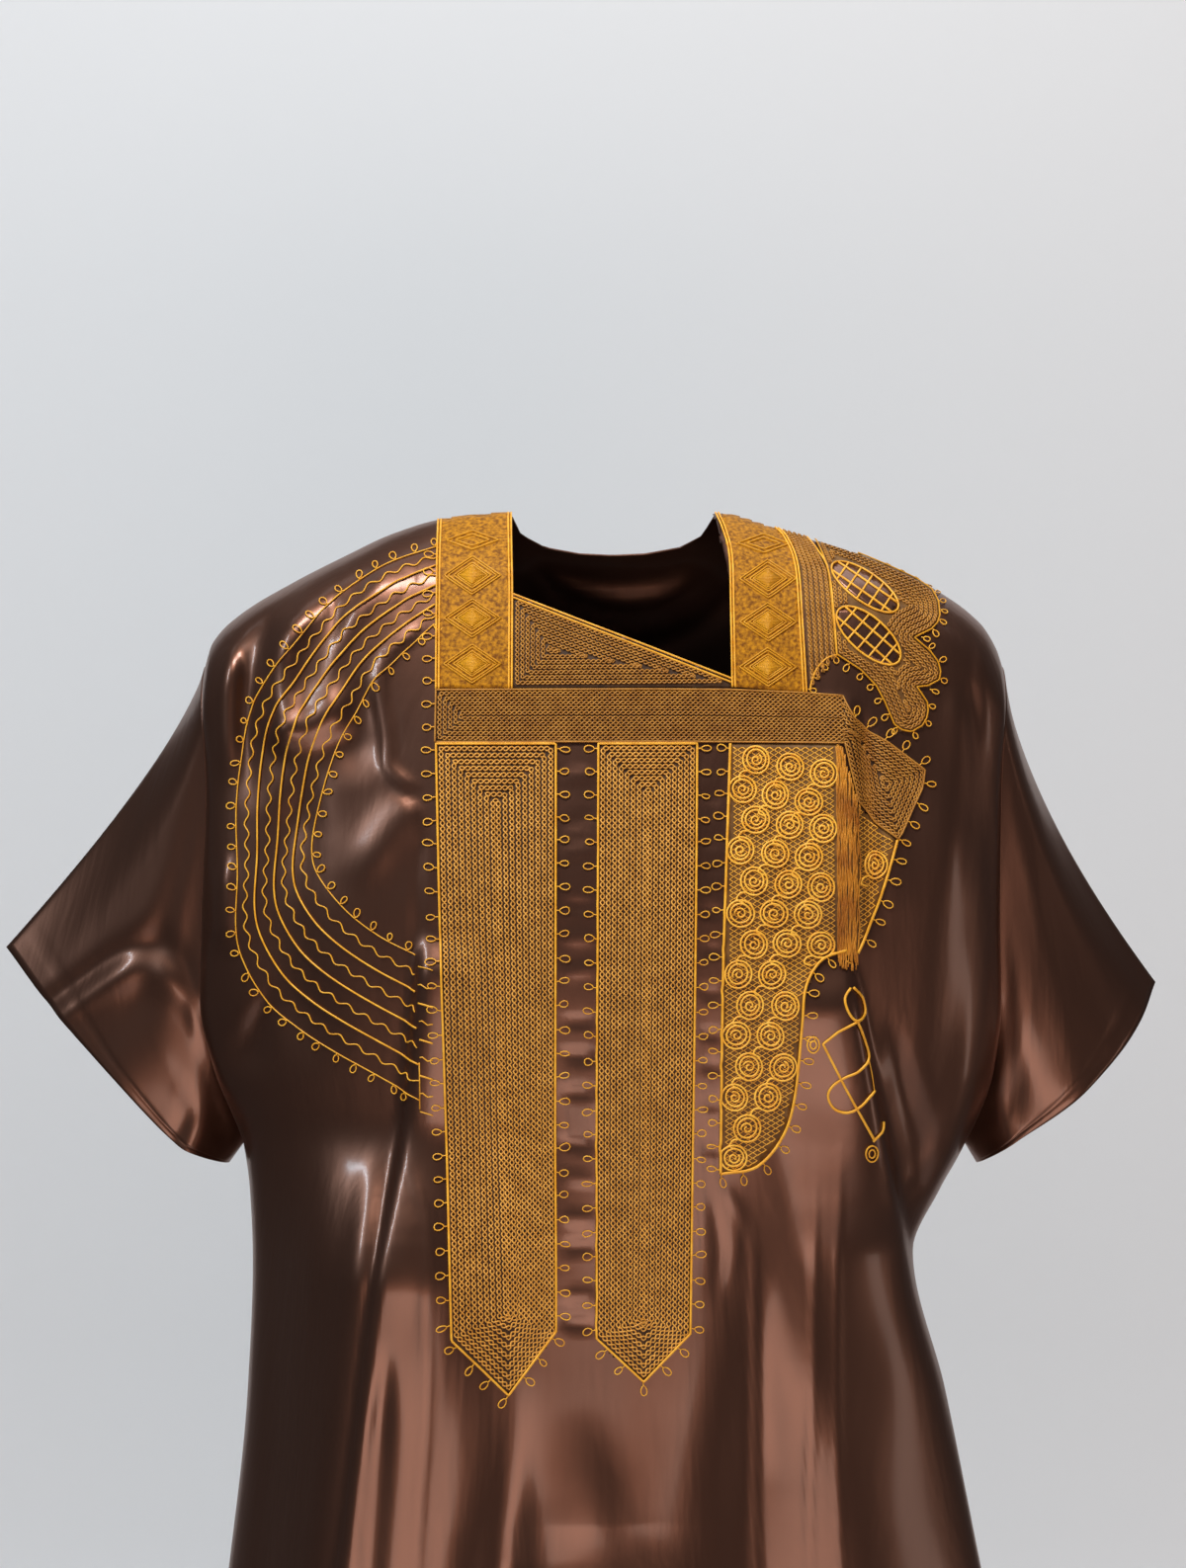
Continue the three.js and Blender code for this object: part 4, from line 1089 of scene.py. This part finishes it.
print("chest band and knives ready")


# roundel panel: a fine net, double-ringed roundels and the curls that link them
def onPanel(x, z):
    # inside the panel's outline, clear of its cords
    away, _, _ = nearestOn(outlines["roundelPanel"], x, z)
    return inside(outlines["roundelPanel"], x, z) & (away > 1.3)


netting = {"x": (68.5, 181, 2.9), "z": (-152.5, -423, -1.7), "half": 1.3}
net = []
for j, x in enumerate(np.arange(*netting["x"])):
    z = np.arange(*netting["z"])
    xs = x + netting["half"] * np.where((np.arange(len(z)) + j) % 2, 1, -1)
    good = onPanel(xs, z) & ~((xs > 141) & (xs < 153) & (z > -290))  # not under the folded stitching
    runs = np.split(np.arange(len(z)), np.nonzero(np.diff(good.astype(int)))[0] + 1)
    net += [np.stack([xs[r], z[r]], -1) for r in runs if len(r) > 3 and good[r[0]]]
layThread("roundelNet", net, 0.5, 4, netThread, stitch["row"] - 0.5)
roundelPlate = plate("roundelPanel", outlines["roundelPanel"], lobeGround)

roundels = {
    "rows": 14, "across": 5, "top": -162, "down": 19.3, "aside": 21.3, "starts": (90.8, 82.0), "drift": 0.55,
    "slope": 4.2, "slopeEnd": 6, "leastSlope": 0.08, "fold": (136, 157), "smallest": 4.2, "largest": 8.7,
    "squash": 0.96, "innerGap": 2.3, "innerSquash": 0.93, "spread": 1.5, "curlTurns": 2.5, "curlPoints": 22,
}
rings, curls = [], []
uneven = np.random.default_rng(3)
for k in range(roundels["rows"]):
    first = roundels["starts"][k % 2] - roundels["drift"] * k
    slope = roundels["slope"] * max(roundels["leastSlope"], 1 - k / roundels["slopeEnd"])
    for i in range(roundels["across"]):
        x = first + roundels["aside"] * i + uneven.uniform(-0.7, 0.7)
        z = roundels["top"] - roundels["down"] * k - slope * i + uneven.uniform(-0.6, 0.6)
        away = float(nearestOn(outlines["roundelPanel"], np.array([x]), np.array([z]))[0][0])
        foldLeft, foldRight = roundels["fold"]
        if not inside(outlines["roundelPanel"], x,
                      z) or foldLeft < x < foldRight or away < roundels["smallest"]:
            continue
        r = min(roundels["largest"], away + 0.2)
        turned = uneven.uniform(0, 360)
        rings.append(spread(oval((x, z), r, r * roundels["squash"], turned), roundels["spread"], closed=True))
        if r > 6:
            place, inner = (x + 0.3 * math.cos(turned), z + 0.3), r - roundels["innerGap"]
            ringInside = oval(place, inner, inner * roundels["innerSquash"], turned, 22)
            rings.append(spread(ringInside, roundels["spread"], closed=True))
        t = np.linspace(0, roundels["curlTurns"] * math.pi, roundels["curlPoints"])
        out = np.linspace(1.0, min(3.9, r * 0.46), roundels["curlPoints"])
        curls.append(np.stack([x + out * np.cos(t + turned), z + out * np.sin(t + turned)], -1))
        link = curveThrough([(x - r * 0.5, z - r * 0.8), (x - r * 1.0, z - r * 0.85),
                             (x - r * 1.25, z - r * 1.3), (x - r * 0.75, z - r * 1.55)], 4)
        if onPanel(link[:, 0], link[:, 1]).all():
            curls.append(link)
layThread("roundelRings", rings, 0.74, 4, ringThread, stitch["row"] + 0.1, closed=True)
layThread("roundelCurls", curls, 0.7, 4, ringThread, stitch["row"] + 0.1)
panelEdge = {"left": [(74, -152), (70.5, -240), (68.5, -305), (67, -422.5)],
             "low": [(67, -422.5), (90, -418), (107, -398), (114.5, -372), (118.6, -329), (121, -305),
                     (131, -288.5), (147, -282)],
             "right": [(180, -213.2), (170.5, -247), (162, -265.5), (154, -284)]}
layThread("roundelPanelCords", [bentCord(path) for path in panelEdge.values()],
          0.95, 6, brightThread, stitch["cord"])

# the stitching where the panel is folded over: long upright threads with frayed ends, in a darker gold that is
# painted shade of the fold over the thread's own colour
foldedOver = {
    "threads": 24, "from": 141.2, "width": 12.4, "points": 36, "sway": 0.45,
    "top": ([140, 144.5, 153.7, 166], [-151.5, -152.5, -189, -202]),
    "low": ([140, 150, 156, 163, 168], [-287, -289, -283, -266, -252]),
}
folded = []
for k in range(foldedOver["threads"]):
    x = foldedOver["from"] + foldedOver["width"] * k / (foldedOver["threads"] - 1) + uneven.uniform(-0.5, 0.5)
    top = np.interp(x, *foldedOver["top"]) - uneven.uniform(0, 2)
    low = np.interp(x, *foldedOver["low"]) - uneven.uniform(-3, 8)
    z = np.linspace(top, low, foldedOver["points"])
    aside = foldedOver["sway"] * np.sin(z * 0.15 + 2.1 * k) + uneven.uniform(-0.3, 0.3)
    folded.append(np.stack([x + aside, z, foldedOver["sway"] * np.sin(z * 0.6 + 2.4 * k)], -1))
layThread("foldedStitching", folded, 0.5, 4, foldShadedThread, stitch["row"] + 0.1)
print("roundel panel ready")

# shoulder lobes: rows that follow the scallops, and two latticed ovals
lobeOvals = {  # centre, half length, half width, turn
    "upper": ((162.0, -51.2), 25.2, 10.0, -36),
    "lower": ((163.4, -82.6), 25.2, 11.6, -41),
}
ovalNet = {"across": (-0.68, -0.34, 0.0, 0.34, 0.68), "acrossPoints": 8, "along": (-0.36, 0.36),
           "alongPoints": 16}
holes = [oval(*shape) for shape in lobeOvals.values()]


def offOvals(x, z):
    # clear of both ovals and below the shoulder line
    clear = np.ones(np.shape(x), bool)
    for hole in holes:
        away, _, _ = nearestOn(hole, x, z)
        clear &= ~inside(hole, x, z) & (away > 1.6)
    return clear & (z < shoulder(x) - 1.5)


chainFill("lobeRows", outlines["shoulderLobes"], 3.1, 3.1, 0.92, 0.54, first=2.7, keep=offOvals)
lobePlate = plate("shoulderLobes", outlines["shoulderLobes"], lobeGround)
bars = []
for (cx, cz), far, wide, turned in lobeOvals.values():
    c, s = math.cos(math.radians(turned)), math.sin(math.radians(turned))
    for u in ovalNet["across"]:
        v = wide * math.sqrt(1 - u * u)
        bar = np.linspace(-v, v, ovalNet["acrossPoints"])
        bars.append(np.stack([cx + u * far * c - bar * s, cz + u * far * s + bar * c], -1))
    for w in ovalNet["along"]:
        u = far * math.sqrt(1 - w * w)
        bar = np.linspace(-u, u, ovalNet["alongPoints"])
        bars.append(np.stack([cx + bar * c - w * wide * s, cz + bar * s + w * wide * c], -1))
for centre, far, wide, turned in lobeOvals.values():
    plate("ovalGround", oval(centre, far - 0.6, wide - 0.6, turned), satinCloth, 2.2, 0.3,
          stitch["ground"] + 0.5)
layThread("lobeCords", [spread(outlines["shoulderLobes"][1:-1], 1.5)], 0.55, 6, bandThread, stitch["cord"])
ovalCords = [spread(hole, 1.5, closed=True) for hole in holes]
layThread("ovalCords", ovalCords, 0.72, 6, brightThread, stitch["cord"], closed=True)
layThread("ovalLattice", bars, 0.85, 4, brightThread, stitch["cord"] - 0.1)
print("shoulder lobes ready")

# arcs on the chest at the wearer's right: thin, wavy and bold lines in turn
arcs = {
    "outer": [(-114.5, -24.5), (-118.1, -25.5), (-146.6, -36.0), (-178.0, -56.9), (-195.4, -75.0),
              (-210.9, -94.9), (-225.4, -116.4), (-231.1, -127.9), (-238.1, -153.2), (-240.9, -193.8),
              (-239.8, -231.0), (-240.8, -268.8), (-234.8, -292.0), (-219.7, -316.1), (-199.1, -332.7),
              (-175.6, -346.8), (-154.1, -358.3), (-121.6, -375.9)],
    "inner": [(-114.5, -75.0), (-118.2, -78.2), (-132.5, -91.3), (-150.7, -109.1), (-163.9, -130.0),
              (-176.5, -153.3), (-188.5, -199.3), (-190.8, -222.5), (-184.9, -238.2), (-167.9, -258.2),
              (-146.9, -273.7), (-123.9, -285.1)],
    "stop": [(-121.8, -352.0), (-121.6, -362.0), (-121.6, -381.5)],
    "tail": [(-121.5, -7.0), (-118, -8.0), (-113.5, -9.5)],  # each line's end, down from its last point
    "lines": 9, "spread": 1.7, "wave": 1.45, "waveLength": 13.2, "tailWave": 0.8,
}
thin, wavy, bold = [], [], []
outerArc, innerArc = curveThrough(arcs["outer"], 8), curveThrough(arcs["inner"], 8)
last = arcs["lines"] - 1
for k in range(arcs["lines"]):
    path = spread(pathBetween(outerArc, innerArc, k / last, 160), arcs["spread"])
    tail = spread([(x, path[-1, 1] + drop) for x, drop in arcs["tail"]], arcs["spread"])
    if k in (0, last):
        thin += [path, tail]
    elif k % 2:
        run = np.arange(len(path)) * arcs["spread"]
        swing = arcs["wave"] * np.sin(run * 2 * math.pi / arcs["waveLength"] + k)
        wavy += [path + swing[:, None] * sidewaysOf(path),
                 tail + [[0, arcs["tailWave"] * math.sin(j * 1.6)] for j in range(len(tail))]]
    else:
        bold += [path, tail]
thin.append(np.array(arcs["stop"]))
layThread("arcThin", thin, 0.47, 4, brightThread, stitch["picot"])
layThread("arcWavy", wavy, 0.49, 4, brightThread, stitch["picot"])
layThread("arcBold", bold, 0.6, 6, brightThread, stitch["bold"])
print("arcs ready")

# the small loops along the edges
small, large, lobeSized = (5.2, 4.2), (6.0, 4.4), (4.6, 3.6)  # length and width
lobeEdge = [(124, -117), (126, -108), (131, -101), (142.6, -94.5), (158, -104.6), (167.7, -114.8), (173, -125),
            (179, -139.5), (190, -144), (200, -135), (200.5, -125), (203, -114), (208.5, -110.5), (208, -99),
            (196, -84.5), (204, -78.5), (210, -69.5), (210, -60), (207, -52), (198, -45), (180, -36.5),
            (160, -27.5)]
loops = picots(outerArc[4:-2], 13.8, small, -1, 0.9, lean=0.3) + picots(innerArc[4:-2],
                                                                        13.6, small, 1, 0.9, lean=0.3)
loops += picots([(-113.5, -30), (-113.2, -117), (-113.2, -151), (-102, -524), (-66.5, -559.5)], 15.2, large, -1)
loops += picots([(-66.5, -559.5), (-36.5, -520.5), (-36.5, -155)], 15.2, large, -1, skip=1)
loops += picots([(-9.5, -155), (-11.2, -525.3), (18.7, -553), (48, -523), (53, -155)], 15.2, large, -1)
loops += picots([(74, -155), (70.5, -240), (68.5, -305), (67, -420)], 15.2, large, -1)
loops += picots(curveThrough(panelEdge["low"], 6), 14.4, large, -1)
loops += picots([(152, -136), (175, -151), (198.4, -168.5), (196.3, -181), (180.3, -213), (170.5, -247),
                 (158, -275)], 13.2, large, 1)
loops += picots(lobeEdge, 10.6, lobeSized, -1, 1.4)
layThread("edgeLoops", loops, 0.45, 4, brightThread, stitch["picot"])

# the open knot below the panel, with a small roundel at each end
knot = {
    "strap": [(148.5, -306.5), (145.2, -313), (147.5, -321), (152.3, -326.4), (157.2, -322), (156, -313),
              (150, -306.2)],
    "upper": [(153.5, -326.5), (141, -333), (131.6, -340.5), (146, -369), (163.7, -401.5)],
    "lower": [(152.3, -326.4), (156.4, -338), (159.3, -350.2), (154, -358), (145, -362), (137.5, -367.4),
              (135, -374), (139, -381.5), (147.5, -383.9), (156, -379.5), (163.2, -371.0)],
    "thin": [(159.3, -350.2), (161.5, -360), (163.2, -371.0)],
    "tip": [(169.3, -391.4), (168.4, -397), (163.1, -402.7)],
    "ends": [(125.6, -341.0), (162.5, -410.5)], "rings": (4.5, 2.3), "tall": 1.15, "narrow": 0.85,
    "spread": 1.5,
}
knotCords = [spread(knot[k] if k == "upper" else curveThrough(knot[k]), knot["spread"])
             for k in ("strap", "upper", "lower", "tip")]
layThread("knot", knotCords, 0.88, 6, brightThread, stitch["bold"])
knotEnds = [spread(oval(centre, r * knot["tall"], r * knot["narrow"], 90, 16), 1.2, closed=True)
            for centre in knot["ends"] for r in knot["rings"]]
layThread("knotEnds", knotEnds, 0.62, 4, brightThread, stitch["bold"], closed=True)
layThread("knotThin", [spread(knot["thin"], knot["spread"])], 0.4, 4, brightThread, stitch["picot"])

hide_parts("neck_band_right")
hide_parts("neck_band_left")
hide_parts("neck_triangle")
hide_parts("chest_band")
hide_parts("knife_outer")
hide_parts("knife_inner")
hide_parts("roundel_panel")
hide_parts("shoulder_lobes")
print("stitching ready")

stage = {  # metres
    "paper": {"Base Color": (0.80, 0.80, 0.81, 1), "Roughness": 0.9, "Specular IOR Level": 0.1},
    "halfWidth": 1.15, "floor": -1.46, "wall": 1.5, "bend": 0.6, "flat": 4.5, "length": 7.5, "rows": 40,
}


def addStage():
    # a pale sweep: a flat floor, a quarter circle of radius "bend" and an upright wall behind
    paper = bpy.data.materials.new("paper")
    paper.use_nodes = True
    setSockets(paper.node_tree.nodes["Principled BSDF"], stage["paper"])
    u, run = np.meshgrid(np.linspace(-stage["halfWidth"], stage["halfWidth"], 3),
                         np.linspace(0, stage["length"], stage["rows"]))
    bend, flat = stage["bend"], stage["flat"]
    quarter = bend * math.pi / 2
    angle = np.clip((run - flat) / quarter, 0, 1) * math.pi / 2
    y = stage["wall"] - bend + np.where(run < flat, run - flat, bend * np.sin(angle))
    z = stage["floor"] + bend * (1 - np.cos(angle)) + np.maximum(run - flat - quarter, 0)
    points = np.stack([u, y, z], -1).reshape(-1, 3) / mm
    sweep = newMesh("sweep", points, gridFaces(stage["rows"], 3), paper, None)
    sweep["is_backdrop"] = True


addStage()
room = {"color": (0.8, 0.84, 0.9, 1), "strength": 0.12}
world = bpy.data.worlds.new("room")
world.use_nodes = True
setSockets(world.node_tree.nodes["Background"], {"Color": room["color"], "Strength": room["strength"]})
bpy.context.scene.world = world
bpy.context.scene.view_settings.view_transform = "Standard"

low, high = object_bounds()
